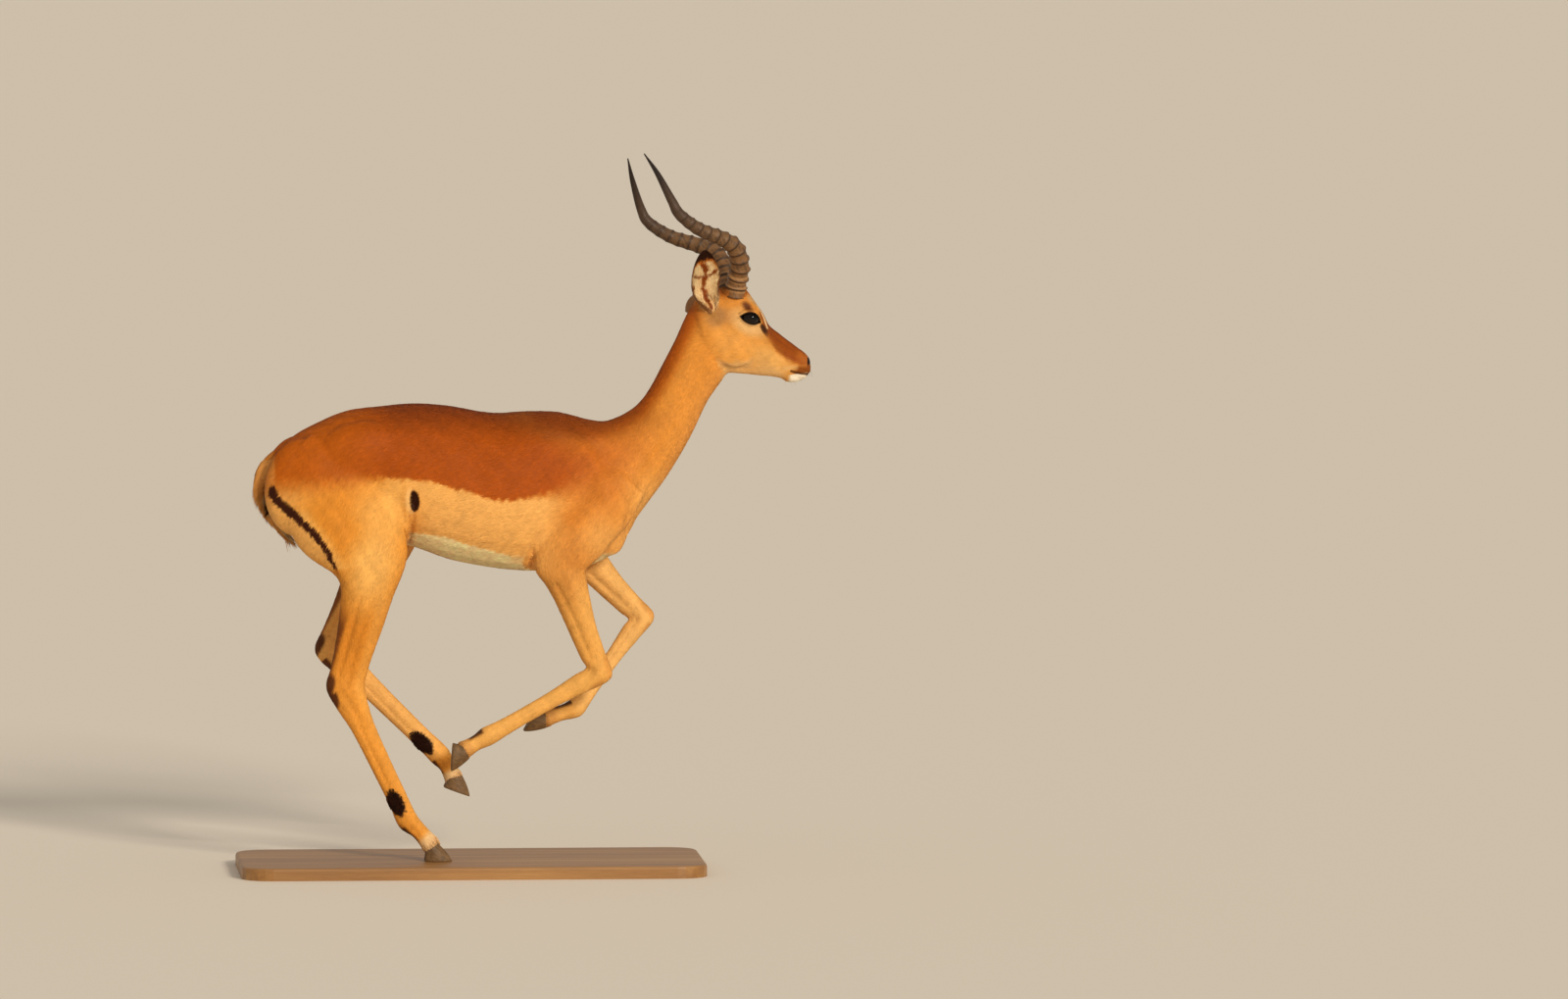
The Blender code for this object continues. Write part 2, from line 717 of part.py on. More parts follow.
def main():
    for old in list(bpy.data.objects):
        bpy.data.objects.remove(old, do_unlink=True)
    body = fuse_flesh()
    legs = (
        ("hind_right", HIND_RIGHT),
        ("hind_left", HIND_LEFT),
        ("fore_right", FORE_RIGHT),
        ("fore_left", FORE_LEFT),
    )
    for name, mirror in (("right", -1), ("left", 1)):
        make_eye("eye_" + name, mirror)
        make_horn("horn_" + name, mirror)
        subtract(body, make_eye("cutter", mirror, GAP))
        subtract(body, make_horn("cutter", mirror, GAP))
    for name, ear in (("right", EAR_RIGHT), ("left", EAR_LEFT)):
        make_ear("ear_" + name, *ear)
        subtract(body, make_ear("cutter", *ear, grow=GAP))
    make_tail("tail")
    subtract(body, make_tail("cutter", GAP))
    for foot, joints in legs:
        frame = hoof_frame(foot, joints)
        subtract(body, make_hoof_block("cutter", frame))
        for claw, side in (("inner", -1), ("outer", 1)):
            mirror = side if joints[0][1] > 0 else -side
            make_claw("hoof_" + foot + "_" + claw, frame, mirror)
    part_body(body)
    markers = [
        ("head", in_head((150, 0, -50))),
        ("neck", (420, -40, 960)),
        ("chest", (180, -95, 760)),
        ("belly", (-40, -105, 760)),
        ("hindquarters", (-300, -85, 800)),
    ]
    for foot, joints in legs:
        upper = bone_frame(joints, 1.6)[0]
        lower = bone_frame(joints, 2.6)[0]
        markers.append(("leg_" + foot + "_upper", upper))
        markers.append(("leg_" + foot + "_lower", lower))
    name_pieces(body, markers)
    make_base()
    for obj in list(bpy.data.objects):
        kind = obj.name.split("_")[0]
        colour, roughness = {
            "chest": (RUST, 0.8),
            "belly": (RUST, 0.8),
            "hindquarters": (RUST, 0.8),
            "head": (TAN, 0.8),
            "neck": (TAN, 0.8),
            "leg": (TAN, 0.8),
            "tail": (CREAM, 0.85),
            "ear": (EAR_TAN, 0.8),
            "eye": (EYE_BLACK, 0.08),
            "horn": (HORN_GREY, 0.5),
            "hoof": (HOOF_GREY, 0.45),
            "stand": (BASE_OAK, 0.4),
        }[kind]
        finish(obj.name, colour, roughness)


main()
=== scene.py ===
# %% [markdown]
# # Impala ram in a running stride
#
# A museum shows an animal like this on a plain board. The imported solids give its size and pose, and
# this file gives it a coat, eyes, horns and hooves. It is a lesson in cells: each step says what the
# piece is on the real animal, how it could be made in Blender, and why this way was chosen.
#
# The flesh is one skin, made whole from lofts and muscles that a voxel remesh melts together. The
# short coat is bump on that skin and thousands of small flat tufts, all lying along the body.

import math

import bmesh
import bpy
import numpy as np
from mathutils import Matrix, Vector
from mathutils.bvhtree import BVHTree


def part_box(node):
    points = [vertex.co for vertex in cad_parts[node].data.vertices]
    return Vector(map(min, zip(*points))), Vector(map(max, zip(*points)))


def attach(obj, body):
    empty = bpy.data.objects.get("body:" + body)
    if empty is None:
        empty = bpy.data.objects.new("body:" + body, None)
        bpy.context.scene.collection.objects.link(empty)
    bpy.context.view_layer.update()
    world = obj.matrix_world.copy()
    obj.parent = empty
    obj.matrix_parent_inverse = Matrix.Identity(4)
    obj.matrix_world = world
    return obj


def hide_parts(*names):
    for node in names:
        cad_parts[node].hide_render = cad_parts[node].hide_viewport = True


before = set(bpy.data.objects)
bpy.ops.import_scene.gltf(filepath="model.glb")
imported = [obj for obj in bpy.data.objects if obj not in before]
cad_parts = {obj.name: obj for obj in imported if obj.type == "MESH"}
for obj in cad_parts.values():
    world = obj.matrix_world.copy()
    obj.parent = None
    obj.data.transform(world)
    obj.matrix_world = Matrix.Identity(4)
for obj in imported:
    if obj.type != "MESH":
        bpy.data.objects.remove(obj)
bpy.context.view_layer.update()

MM = 0.001
rng = np.random.default_rng(20)

# %% [markdown]
# ## Places and sizes
#
# Sizes are in millimetres, as a taxidermist writes them, and become metres when a mesh is made. The
# trunk, neck and head are lists of sections: a place, a top, a bottom and a half width. A section is
# an oval whose upper half can be fuller than its lower half, which a number called egg says. Blender
# could also grow a body from metaballs or a skin modifier, but neither keeps a measured outline.

# %% Sections of trunk, neck and head
# Trunk: x, back height, belly height, half width, egg.
TRUNK = (
    (-374, 804, 742, 34, 0.00),
    (-345, 843, 700, 64, 0.05),
    (-300, 869, 668, 85, 0.08),
    (-240, 894, 655, 96, 0.10),
    (-180, 902, 645, 99, 0.06),
    (-110, 908, 629, 103, -0.02),
    (-40, 903, 604, 110, -0.06),
    (40, 889, 588, 112, -0.05),
    (110, 892, 581, 106, 0.00),
    (175, 890, 582, 95, 0.02),
    (230, 876, 590, 84, 0.00),
    (280, 868, 616, 70, -0.05),
    (318, 852, 668, 50, -0.05),
)
# Neck: nape point (x, z), throat point (x, z), half width.
NECK = (
    (232, 862, 300, 652, 72),
    (285, 880, 345, 711, 62),
    (323, 903, 388, 772, 53),
    (349, 938, 428, 840, 46),
    (374, 983, 458, 903, 41),
    (397, 1028, 476, 931, 38),
    (417, 1073, 494, 956, 38),
    (431, 1098, 508, 982, 38),
)
# The head has its own frame: u forward, y to the animal's left, v up.
HEAD_ORIGIN = (461, 0, 1074)
HEAD_TURN = math.radians(11)
HEAD_LEAN = math.radians(-7)
# Head: upper profile (u, v), lower profile (u, v), half width, egg.
HEAD = (
    (-34, 16, -6, -80, 34, 0.05),
    (-14, 42, 14, -102, 41, 0.10),
    (26, 54, 42, -111, 44, 0.20),
    (68, 58, 68, -114, 45, 0.28),
    (90, 31, 88, -116, 45, 0.30),
    (107, 7, 104, -118, 41, 0.24),
    (119, -17, 117, -119, 36, 0.12),
    (140, -34, 134, -121, 30, 0.02),
    (161, -50, 152, -126, 26, -0.08),
    (180, -64, 169, -131, 24, -0.12),
    (193, -74, 187, -126, 21, -0.10),
    (203, -87, 201, -114, 14, 0.00),
)


def head_matrix():
    """Place of the head frame in the model."""
    turn = Matrix.Rotation(HEAD_TURN, 4, "Z")
    lean = Matrix.Rotation(HEAD_LEAN, 4, "X")
    return Matrix.Translation(HEAD_ORIGIN) @ turn @ lean


def in_head(point):
    """Point of the head frame as a point of the model."""
    return head_matrix() @ Vector(point)


print("nose at", [round(value) for value in in_head((203, 0, -100))])

# %% [markdown]
# ## Legs
#
# A leg is a chain of bones from hip or shoulder to the coronet of the hoof. The flesh stands so far
# in front of the bone and so far behind it, at places counted along the chain: 1.5 is halfway along
# the second bone. Both hind legs share one set of sections, and both forelegs another, so only the
# joints change with the stride.

# %% Joints and sections of the legs
JOINTS = {
    "hind_right": ((-300, -54, 791), (-178, -78, 605), (-245, -70, 364), (-125, -65, 102), (-82, -64, 57)),
    "hind_left": ((-300, 54, 791), (-150, 78, 636), (-262, 70, 426), (-56, 64, 217), (-31, 62, 176)),
    "fore_right": ((285, -58, 732), (162, -68, 599), (246, -70, 389), (29, -66, 264), (-14, -65, 240)),
    "fore_left": ((298, 58, 732), (188, 70, 632), (337, 74, 484), (207, 46, 309), (148, 43, 291)),
}
# Place along the bones, reach in front, reach behind, half width.
FLESH = {
    "hind": (
        (-0.25, 26, 40, 20),
        (0.0, 74, 98, 40),
        (0.5, 112, 116, 47),
        (0.8, 82, 94, 43),
        (1.0, 54, 100, 38),
        (1.25, 43, 63, 31),
        (1.5, 40, 49, 26),
        (1.75, 35, 41, 19),
        (1.9, 34, 38, 18),
        (2.0, 38, 38, 20),
        (2.12, 29, 33, 18),
        (2.3, 21, 25, 14),
        (2.6, 19.5, 21, 13.5),
        (2.85, 20, 19, 14),
        (3.0, 21, 20, 17),
        (3.5, 18, 13, 14.5),
        (4.0, 18, 17, 18.5),
        (4.16, 16, 14, 17),
    ),
    "fore": (
        (-0.2, 36, 50, 30),
        (0.0, 48, 70, 36),
        (0.5, 56, 72, 36),
        (1.0, 60, 44, 32),
        (1.15, 50, 33, 30),
        (1.3, 42, 29, 28),
        (1.6, 30, 26, 23),
        (1.85, 26, 23, 21),
        (2.0, 27, 22, 22),
        (2.15, 21, 20, 18),
        (2.4, 16.5, 16, 13.5),
        (2.7, 15.5, 15.5, 13),
        (2.88, 16.5, 17, 14.5),
        (3.0, 17.5, 20, 17.5),
        (3.5, 14, 15, 14.5),
        (4.0, 17, 17, 18.5),
        (4.16, 15, 14, 17),
    ),
}


def bone_frame(joints, place):
    """Point on a chain of bones, the forward direction across it and the direction along it."""
    last = len(joints) - 2
    segment = min(max(math.floor(place), 0), last)
    start = Vector(joints[segment])
    end = Vector(joints[segment + 1])
    share = place - segment
    point = start.lerp(end, share)
    along = (end - start).normalized()
    if abs(share) < 1e-6 and segment > 0:
        before = (start - Vector(joints[segment - 1])).normalized()
        along = (along + before).normalized()
    front = Vector((-along.z, 0, along.x)).normalized()
    return point, front, along


print("hock to fetlock", round((Vector(JOINTS["hind_right"][2]) - Vector(JOINTS["hind_right"][3])).length))

# %% [markdown]
# ## Muscles
#
# Muscles and bones that show through the skin are egg-shaped masses: the shoulder blade, the upper
# arm, the buttock, the cheekbone, the wing of the nostril. Each is an ellipsoid with a pitch, and
# all but those on the middle line come in pairs.

# %% Muscles of the body and forms of the head
# Centre (x, y, z), radii, pitch in degrees.
MUSCLES = (
    ((246, 50, 766), (56, 24, 100), 24),        # shoulder blade
    ((240, 60, 690), (98, 30, 58), 40),        # upper arm
    ((264, 20, 672), (40, 34, 62), 10),        # breast
    ((-328, 46, 748), (73, 42, 97), -4),       # buttock
    ((-215, 56, 812), (92, 42, 66), 12),       # croup and point of the hip
    ((-172, 66, 668), (44, 26, 84), -6),       # fold of the flank
)
SCROTUM = ((-236, 0, 640), (25, 22, 30), 0)
# The same in the head frame.
HEAD_FORMS = (
    ((72, 35, 4), (27, 14, 20), -25),          # brow over the eye
    ((86, 33, -32), (32, 12, 10), -25),        # cheekbone under the eye
    ((46, 29, -62), (42, 15, 40), 0),          # chewing muscle
    ((47, 26, 36), (23, 19, 20), 0),           # pedicle of the horn
    ((-3, 33, 10), (16, 13, 14), 0),           # root of the ear
    ((186, 11, -88), (13, 10, 13), -25),       # wing of the nostril
    ((183, 12, -104), (19, 10, 11), -5),       # upper lip
    ((169, 6, -120), (21, 13, 12), 8),         # chin
    ((73, 35, -9), (21, 19, 20), -10),         # swell of the lids over the eyeball
)
print("masses", 2 * len(MUSCLES) + 2 * len(HEAD_FORMS) + 1)

# %% [markdown]
# ## From sections to a body
#
# A loft starts from `bmesh.ops.create_circle`. The ring is extruded once for each section and its
# new vertices move to that section, so the sides are clean quads and the ends are closed. The
# sections come from a Catmull-Rom curve through the rows above, which gives round transitions.
#
# The lofts and muscles overlap. A Boolean union would keep every crease where they meet, and a real
# body has none, so a voxel remesh fuses them and a few rounds of smoothing melt the joins.

# %% Lofts and masses
RING_POINTS = 28


def curve_through(rows, steps):
    """Catmull-Rom curve through rows of numbers, with steps new rows for each span."""
    rows = np.array(rows, float)
    padded = np.vstack([2 * rows[0] - rows[1], rows, 2 * rows[-1] - rows[-2]])
    found = []
    for i in range(1, len(padded) - 2):
        a, b, c, d = padded[i - 1:i + 3]
        for step in range(steps):
            t = step / steps
            cubic = (3 * b - 3 * c + d - a) * t ** 3
            square = (2 * a - 5 * b + 4 * c - d) * t ** 2
            found.append(0.5 * (2 * b + (c - a) * t + square + cubic))
    found.append(rows[-1])
    return found


def loft(bm, rings):
    """Extrude one circle through a list of equal rings and close both ends."""
    made = bmesh.ops.create_circle(bm, segments=len(rings[0]), radius=1.0, cap_ends=False)["verts"]
    for vertex, point in zip(made, rings[0]):
        vertex.co = point
    edges = list({edge for vertex in made for edge in vertex.link_edges})
    first = edges
    for ring in rings[1:]:
        out = bmesh.ops.extrude_edge_only(bm, edges=edges)["geom"]
        fresh = {item for item in out if isinstance(item, bmesh.types.BMVert)}
        edges = [
            item for item in out
            if isinstance(item, bmesh.types.BMEdge) and item.verts[0] in fresh and item.verts[1] in fresh
        ]
        following = []
        for vertex in made:
            following.append(next(e.other_vert(vertex) for e in vertex.link_edges if e.other_vert(vertex) in fresh))
        for vertex, point in zip(following, ring):
            vertex.co = point
        made = following
    bmesh.ops.contextual_create(bm, geom=first)
    bmesh.ops.contextual_create(bm, geom=edges)


def egg_ring(front, back, side, half_width, egg, count=RING_POINTS):
    """Ring between a front and a back point; egg widens the front end of the oval."""
    middle = (front + back) / 2
    half = (front - back) / 2
    ring = []
    for i in range(count):
        angle = math.tau * i / count
        depth = math.cos(angle)
        width = half_width * math.sin(angle) * (1 + egg * depth)
        ring.append(middle + half * depth + side * width)
    return ring


def add_mass(bm, place, centre, radii, pitch):
    """Egg-like mass; a negative pitch turns its front end down."""
    turn = Matrix.Rotation(math.radians(-pitch), 4, "Y")
    matrix = place @ Matrix.Translation(centre) @ turn @ Matrix.Diagonal((*radii, 1.0))
    bmesh.ops.create_uvsphere(bm, u_segments=32, v_segments=20, radius=1.0, matrix=matrix)


def object_from(name, bm, smooth=True):
    """Turn a bmesh in millimetres into an object in metres, with its faces pointing out."""
    bmesh.ops.recalc_face_normals(bm, faces=bm.faces)
    bmesh.ops.transform(bm, matrix=Matrix.Scale(MM, 4), verts=bm.verts)
    mesh = bpy.data.meshes.new(name)
    bm.to_mesh(mesh)
    bm.free()
    if smooth:
        mesh.shade_smooth()
    else:
        mesh.shade_flat()
    obj = bpy.data.objects.new(name, mesh)
    bpy.context.scene.collection.objects.link(obj)
    return obj


# %% The tail's core, under its long hair
TAIL_CORE = (
    (-340, 814, 24, 20),
    (-372, 801, 19, 18),
    (-389, 784, 18, 17),
    (-400, 758, 15, 15),
    (-401, 730, 11, 12),
    (-394, 704, 8, 10),
    (-379, 680, 6, 8),
    (-360, 655, 4, 5),
)


def tail_rings(rows, count=16):
    """Rings along the tail, square to its line."""
    path = curve_through(rows, 4)
    rings = []
    for i, row in enumerate(path):
        before = path[max(i - 1, 0)]
        after = path[min(i + 1, len(path) - 1)]
        along = Vector((after[0] - before[0], 0, after[1] - before[1])).normalized()
        back = Vector((-along.z, 0, along.x))
        centre = Vector((row[0], 0, row[1]))
        rings.append(egg_ring(centre + back * row[2], centre - back * row[2], Vector((0, 1, 0)), row[3], 0, count))
    return rings


# %% Melting the forms together
VOXEL = 5.0
MELTING_STEPS = 4


def melted_body():
    """All flesh forms fused into one closed surface, out to the tips of the coat."""
    bm = bmesh.new()
    side = Vector((0, 1, 0))
    rings = []
    for x, top, bottom, half_width, egg in curve_through(TRUNK, 3):
        rings.append(egg_ring(Vector((x, 0, top)), Vector((x, 0, bottom)), side, half_width, egg))
    loft(bm, rings)
    rings = []
    for nape_x, nape_z, throat_x, throat_z, half_width in curve_through(NECK, 3):
        nape = Vector((nape_x, 0, nape_z))
        rings.append(egg_ring(nape, Vector((throat_x, 0, throat_z)), side, half_width, -0.08))
    loft(bm, rings)
    head_side = head_matrix().to_3x3() @ side
    rings = []
    for top_u, top_v, low_u, low_v, half_width, egg in curve_through(HEAD, 4):
        rings.append(egg_ring(in_head((top_u, 0, top_v)), in_head((low_u, 0, low_v)), head_side, half_width, egg))
    loft(bm, rings)
    for foot, joints in JOINTS.items():
        rows = []
        for place, front_reach, back_reach, half_width in FLESH[foot[:4]]:
            point, front, _ = bone_frame(joints, place)
            rows.append((*(point + front * front_reach), *(point - front * back_reach), half_width))
        rings = []
        for row in curve_through(rows, 4):
            rings.append(egg_ring(Vector(row[0:3]), Vector(row[3:6]), side, row[6], 0.0))
        loft(bm, rings)
    loft(bm, tail_rings(TAIL_CORE))
    for mirror in (1, -1):
        for centre, radii, pitch in MUSCLES:
            add_mass(bm, Matrix.Identity(4), (centre[0], centre[1] * mirror, centre[2]), radii, pitch)
        for centre, radii, pitch in HEAD_FORMS:
            add_mass(bm, head_matrix(), (centre[0], centre[1] * mirror, centre[2]), radii, pitch)
    add_mass(bm, Matrix.Identity(4), *SCROTUM)
    obj = object_from("coat_skin", bm)
    remesh = obj.modifiers.new("Melt", "REMESH")
    remesh.mode = "VOXEL"
    remesh.voxel_size = VOXEL * MM
    soften = obj.modifiers.new("Soften", "SMOOTH")
    soften.iterations = MELTING_STEPS
    graph = bpy.context.evaluated_depsgraph_get()
    mesh = bpy.data.meshes.new_from_object(obj.evaluated_get(graph), depsgraph=graph)
    obj.modifiers.clear()
    obj.data = mesh
    return obj


skin = melted_body()
print("melted body", len(skin.data.polygons), "faces")

# %% [markdown]
# ## The skin as arrays
#
# A skin has tens of thousands of vertices, so what happens to each of them is worked out with numpy
# on whole arrays and written back once. The head needs finer faces than the barrel: the faces of the
# head are divided once, and those round the eyes and on the muzzle twice.

# %% Reading, writing, dividing and relaxing a mesh


def positions(mesh):
    """Vertex positions in millimetres."""
    flat = np.empty(len(mesh.vertices) * 3, np.float32)
    mesh.vertices.foreach_get("co", flat)
    return flat.reshape(-1, 3).astype(float) / MM


def move_to(mesh, points):
    """Write vertex positions in millimetres."""
    mesh.vertices.foreach_set("co", (points * MM).astype(np.float32).ravel())
    mesh.update()


def normals_of(mesh):
    """Vertex normals."""
    flat = np.empty(len(mesh.vertices) * 3, np.float32)
    mesh.vertices.foreach_get("normal", flat)
    return flat.reshape(-1, 3).astype(float)


def to_head(points):
    """Points of the model in the head frame."""
    matrix = head_matrix()
    return (points - np.array(matrix.translation)) @ np.array(matrix.to_3x3())


def ramp(value, low, high):
    """Smooth step from 0 at low to 1 at high."""
    share = np.clip((value - low) / (high - low), 0, 1)
    return share * share * (3 - 2 * share)


def divide(mesh, chosen):
    """Halve the edges that join two chosen vertices."""
    bm = bmesh.new()
    bm.from_mesh(mesh)
    edges = [edge for edge in bm.edges if chosen[edge.verts[0].index] and chosen[edge.verts[1].index]]
    bmesh.ops.subdivide_edges(bm, edges=edges, cuts=1, use_grid_fill=True)
    bm.to_mesh(mesh)
    bm.free()
    mesh.update()


def relax(mesh, weight, rounds):
    """Draw each vertex towards the mean of its neighbours, by its weight."""
    points = positions(mesh)
    ends = np.empty(len(mesh.edges) * 2, np.int32)
    mesh.edges.foreach_get("vertices", ends)
    a, b = ends.reshape(-1, 2).T
    count = np.bincount(a, minlength=len(points)) + np.bincount(b, minlength=len(points))
    for _ in range(rounds):
        mean = np.empty_like(points)
        for axis in range(3):
            total = np.bincount(a, points[b, axis], len(points)) + np.bincount(b, points[a, axis], len(points))
            mean[:, axis] = total / count
        points += weight[:, None] * (mean - points)
    move_to(mesh, points)


def fine_zone(local):
    """1 round the eyes and on the front of the muzzle, in the head frame."""
    u, y, v = local.T
    eye = (np.abs(u - 74) < 33) & (np.abs(v + 10) < 27) & (np.abs(y) > 18)
    muzzle = (u > 148) & (v < -40)
    return eye | muzzle


local = to_head(positions(skin.data))
divide(skin.data, local[:, 0] > -38)
local = to_head(positions(skin.data))
relax(skin.data, 0.45 * ramp(local[:, 0], -45, -30), 3)
divide(skin.data, fine_zone(to_head(positions(skin.data))))
local = to_head(positions(skin.data))
relax(skin.data, 0.4 * fine_zone(local), 3)
print("skin divided", len(skin.data.polygons), "faces")

# %% [markdown]
# ## Which limb a point belongs to, and how its hair lies
#
# Every part of the body is near one of a few straight lines: the bones of the legs, the neck, the
# back, the tail. A point belongs to the line it is nearest to, measured in that line's own
# thickness. Each line also says which way the hair grows on it, and the hair of a point follows the
# lines round it by their nearness, so that the coat turns smoothly from neck to shoulder to leg.

# %% The lines of the body
# Limb, start, end, thickness, hair direction (None is along the line).
LINES = [
    ("head", in_head((196, 0, -96)), in_head((96, 0, -46)), 36, None),
    ("head", in_head((96, 0, -46)), in_head((-16, 0, -14)), 58, None),
    ("neck", (452, 0, 1036), (408, 0, 954), 46, None),
    ("neck", (408, 0, 954), (296, 0, 776), 62, None),
    ("trunk", (296, 0, 776), (190, 0, 740), 96, (-0.72, 0, -0.69)),
    ("trunk", (190, 0, 740), (-60, 0, 752), 118, (-0.95, 0, -0.30)),
    ("trunk", (-60, 0, 752), (-330, 0, 782), 108, (-0.88, 0, -0.47)),
    ("tail", (-352, 0, 808), (-398, 0, 776), 15, None),
    ("tail", (-398, 0, 776), (-404, 0, 728), 14, None),
    ("tail", (-404, 0, 728), (-372, 0, 664), 12, None),
]
THICKNESS = {"hind": (74, 52, 27, 22, 20), "fore": (50, 44, 26, 20, 20)}
for foot, joints in JOINTS.items():
    for index in range(4):
        way = (-0.42, 0, -0.91) if index == 0 else None
        LINES.append((foot, joints[index], joints[index + 1], THICKNESS[foot[:4]][index], way))
LIMBS = ["head", "neck", "trunk", "tail", *JOINTS]
line_start = np.array([line[1] for line in LINES], float)
line_end = np.array([line[2] for line in LINES], float)
line_thick = np.array([line[3] for line in LINES], float)
line_limb = np.array([LIMBS.index(line[0]) for line in LINES])
line_way = line_end - line_start
line_way /= np.linalg.norm(line_way, axis=1, keepdims=True)
for index, line in enumerate(LINES):
    if line[4] is not None:
        line_way[index] = np.array(line[4]) / np.linalg.norm(line[4])


def nearness(points):
    """Distance from each point to each line in that line's thickness, and the share along it."""
    spread = line_end - line_start
    length = (spread ** 2).sum(1)
    reach = points[:, None, :] - line_start[None]
    share = np.clip((reach * spread[None]).sum(2) / length, 0, 1)
    gap = np.linalg.norm(reach - share[..., None] * spread[None], axis=2)
    return gap / line_thick, share


def limb_of(points):
    """Index into LIMBS of the limb of each point, its line and the share along it."""
    gap, share = nearness(points)
    best = gap.argmin(1)
    return line_limb[best], best, share[np.arange(len(points)), best]


def lie_of_hair(points, normals):
    """Direction of the hair at each point, in the plane of the skin."""
    gap, _ = nearness(points)
    near = np.exp(-5.0 * (gap - gap.min(1, keepdims=True)))
    way = near @ line_way
    way[:, 1] += 0.35 * normals[:, 1]
    way -= (way * normals).sum(1, keepdims=True) * normals
    return way / (np.linalg.norm(way, axis=1, keepdims=True) + 1e-9)


limbs, _, _ = limb_of(positions(skin.data))
for name, count in zip(LIMBS, np.bincount(limbs, minlength=len(LIMBS))):
    print("vertices on", name, count)

# %% [markdown]
# ## Sculpting
#
# Folds, tendons, lids and nostrils are strokes: a line over the skin, a width and a height in
# millimetres, where a negative height is a groove. A stroke on the body is drawn in the side view
# and works on both flanks. A stroke on a leg is drawn in the leg's own measure, place along the
# bones and distance in front of them, so it follows the leg wherever the stride puts it. A stroke on
# the head is drawn in the head frame. A sculptor would drag these with a brush; as numbers they stay
# where the anatomy is.

# %% Strokes


def distance_to(flat, path):
    """Distance of 2D points from a 2D line of a few points, and the share along it."""
    path = np.array(path, float)
    best = np.full(len(flat), 1e9)
    where = np.zeros(len(flat))
    for index, (a, b) in enumerate(zip(path, path[1:])):
        spread = b - a
        share = np.clip(((flat - a) @ spread) / (spread @ spread), 0, 1)
        gap = np.linalg.norm(flat - a - share[:, None] * spread, axis=1)
        closer = gap < best
        best[closer] = gap[closer]
        where[closer] = (index + share[closer]) / (len(path) - 1)
    return best, where


def stroke_height(flat, path, width, height, taper=0.0):
    """Height that one stroke adds; taper thins both of its ends."""
    gap, where = distance_to(flat, path)
    ends = 1 - taper + taper * np.sin(np.pi * np.clip(where, 0.02, 0.98)) ** 0.5
    return height * ends * np.exp(-(gap / (width * (0.4 + 0.6 * ends))) ** 2)


# In the side view: path (x, z), width, height, taper.
BODY_STROKES = (
    (((189, 872), (245, 822), (279, 762), (299, 712), (304, 668)), 17, -5.0, 0.5),     # before the shoulder
    (((206, 860), (166, 800), (150, 730), (152, 672)), 24, -3.0, 0.6),                 # behind the shoulder
    (((214, 842), (246, 770), (262, 716)), 15, 2.5, 0.6),                              # ridge of the blade
    (((262, 712), (216, 650), (176, 612)), 26, 3.0, 0.6),                              # upper arm
    (((-118, 745), (-116, 700), (-117, 660), (-118, 632)), 5, -5.0, 0.4),              # crease before the thigh
    (((-127, 752), (-126, 700), (-128, 655), (-130, 618)), 8, 3.0, 0.5),               # edge of the thigh
    (((117, 634), (116, 606), (119, 582)), 4.5, -4.0, 0.4),                            # crease behind the elbow
    (((-258, 704), (-224, 640), (-186, 572)), 13, -2.5, 0.7),                          # between the thigh muscles
    (((-300, 660), (-262, 600), (-225, 545)), 15, 2.5, 0.7),                           # band of the hamstring
    (((-150, 812), (-192, 776), (-214, 720)), 26, -3.0, 0.7),                          # hollow before the hip
    (((395, 862), (347, 792), (318, 732), (303, 684)), 9, -3.2, 0.6),                  # groove of the neck
    (((430, 905), (380, 822), (342, 756)), 11, 2.2, 0.6),                              # windpipe beside it
    (((288, 655), (256, 616), (228, 578)), 4, -3.0, 0.4),                              # between arm and breast
    (((-60, 880), (-10, 830), (20, 760)), 30, -2.0, 0.7),                              # loin
)
FLANK_POCKET = (-112, 724, 9.5, 21)
# On a leg: path (place, distance in front), width, height, taper.
LEG_STROKES = {
    "hind": (
        (((1.30, -20), (1.60, -20), (1.92, -20)), 6, -4.0, 0.5),
        (((1.25, 12), (1.60, 10), (1.95, 10)), 7, 2.0, 0.6),
        (((1.50, 0), (1.80, -2), (2.00, 2)), 4.5, -1.8, 0.6),
        (((1.95, 14), (2.10, 12), (2.30, 8)), 6, 1.6, 0.6),
        (((2.02, -10), (2.12, -6), (2.24, -2)), 6, -2.2, 0.6),
        (((2.15, -7), (2.50, -7), (2.82, -6)), 3.6, -2.2, 0.4),
        (((2.20, 6), (2.55, 5), (2.85, 5)), 5, 1.2, 0.5),
        (((2.92, 2), (3.05, 2)), 9, 1.8, 0.3),
        (((3.15, -4), (3.60, -3)), 5, -1.6, 0.5),
    ),
    "fore": (
        (((1.15, -14), (1.50, -8), (1.86, -6)), 6, -3.0, 0.5),
        (((1.10, 14), (1.45, 9), (1.80, 8)), 9, 2.2, 0.6),
        (((1.94, 8), (2.06, 8)), 10, 2.0, 0.3),
        (((2.00, -8), (2.12, -6)), 6, -2.0, 0.3),
        (((2.18, -4), (2.50, -4), (2.84, -4)), 3.4, -1.8, 0.4),
        (((2.92, 1), (3.05, 1)), 9, 1.6, 0.3),
        (((3.15, -3), (3.60, -2)), 5, -1.5, 0.5),
    ),
}
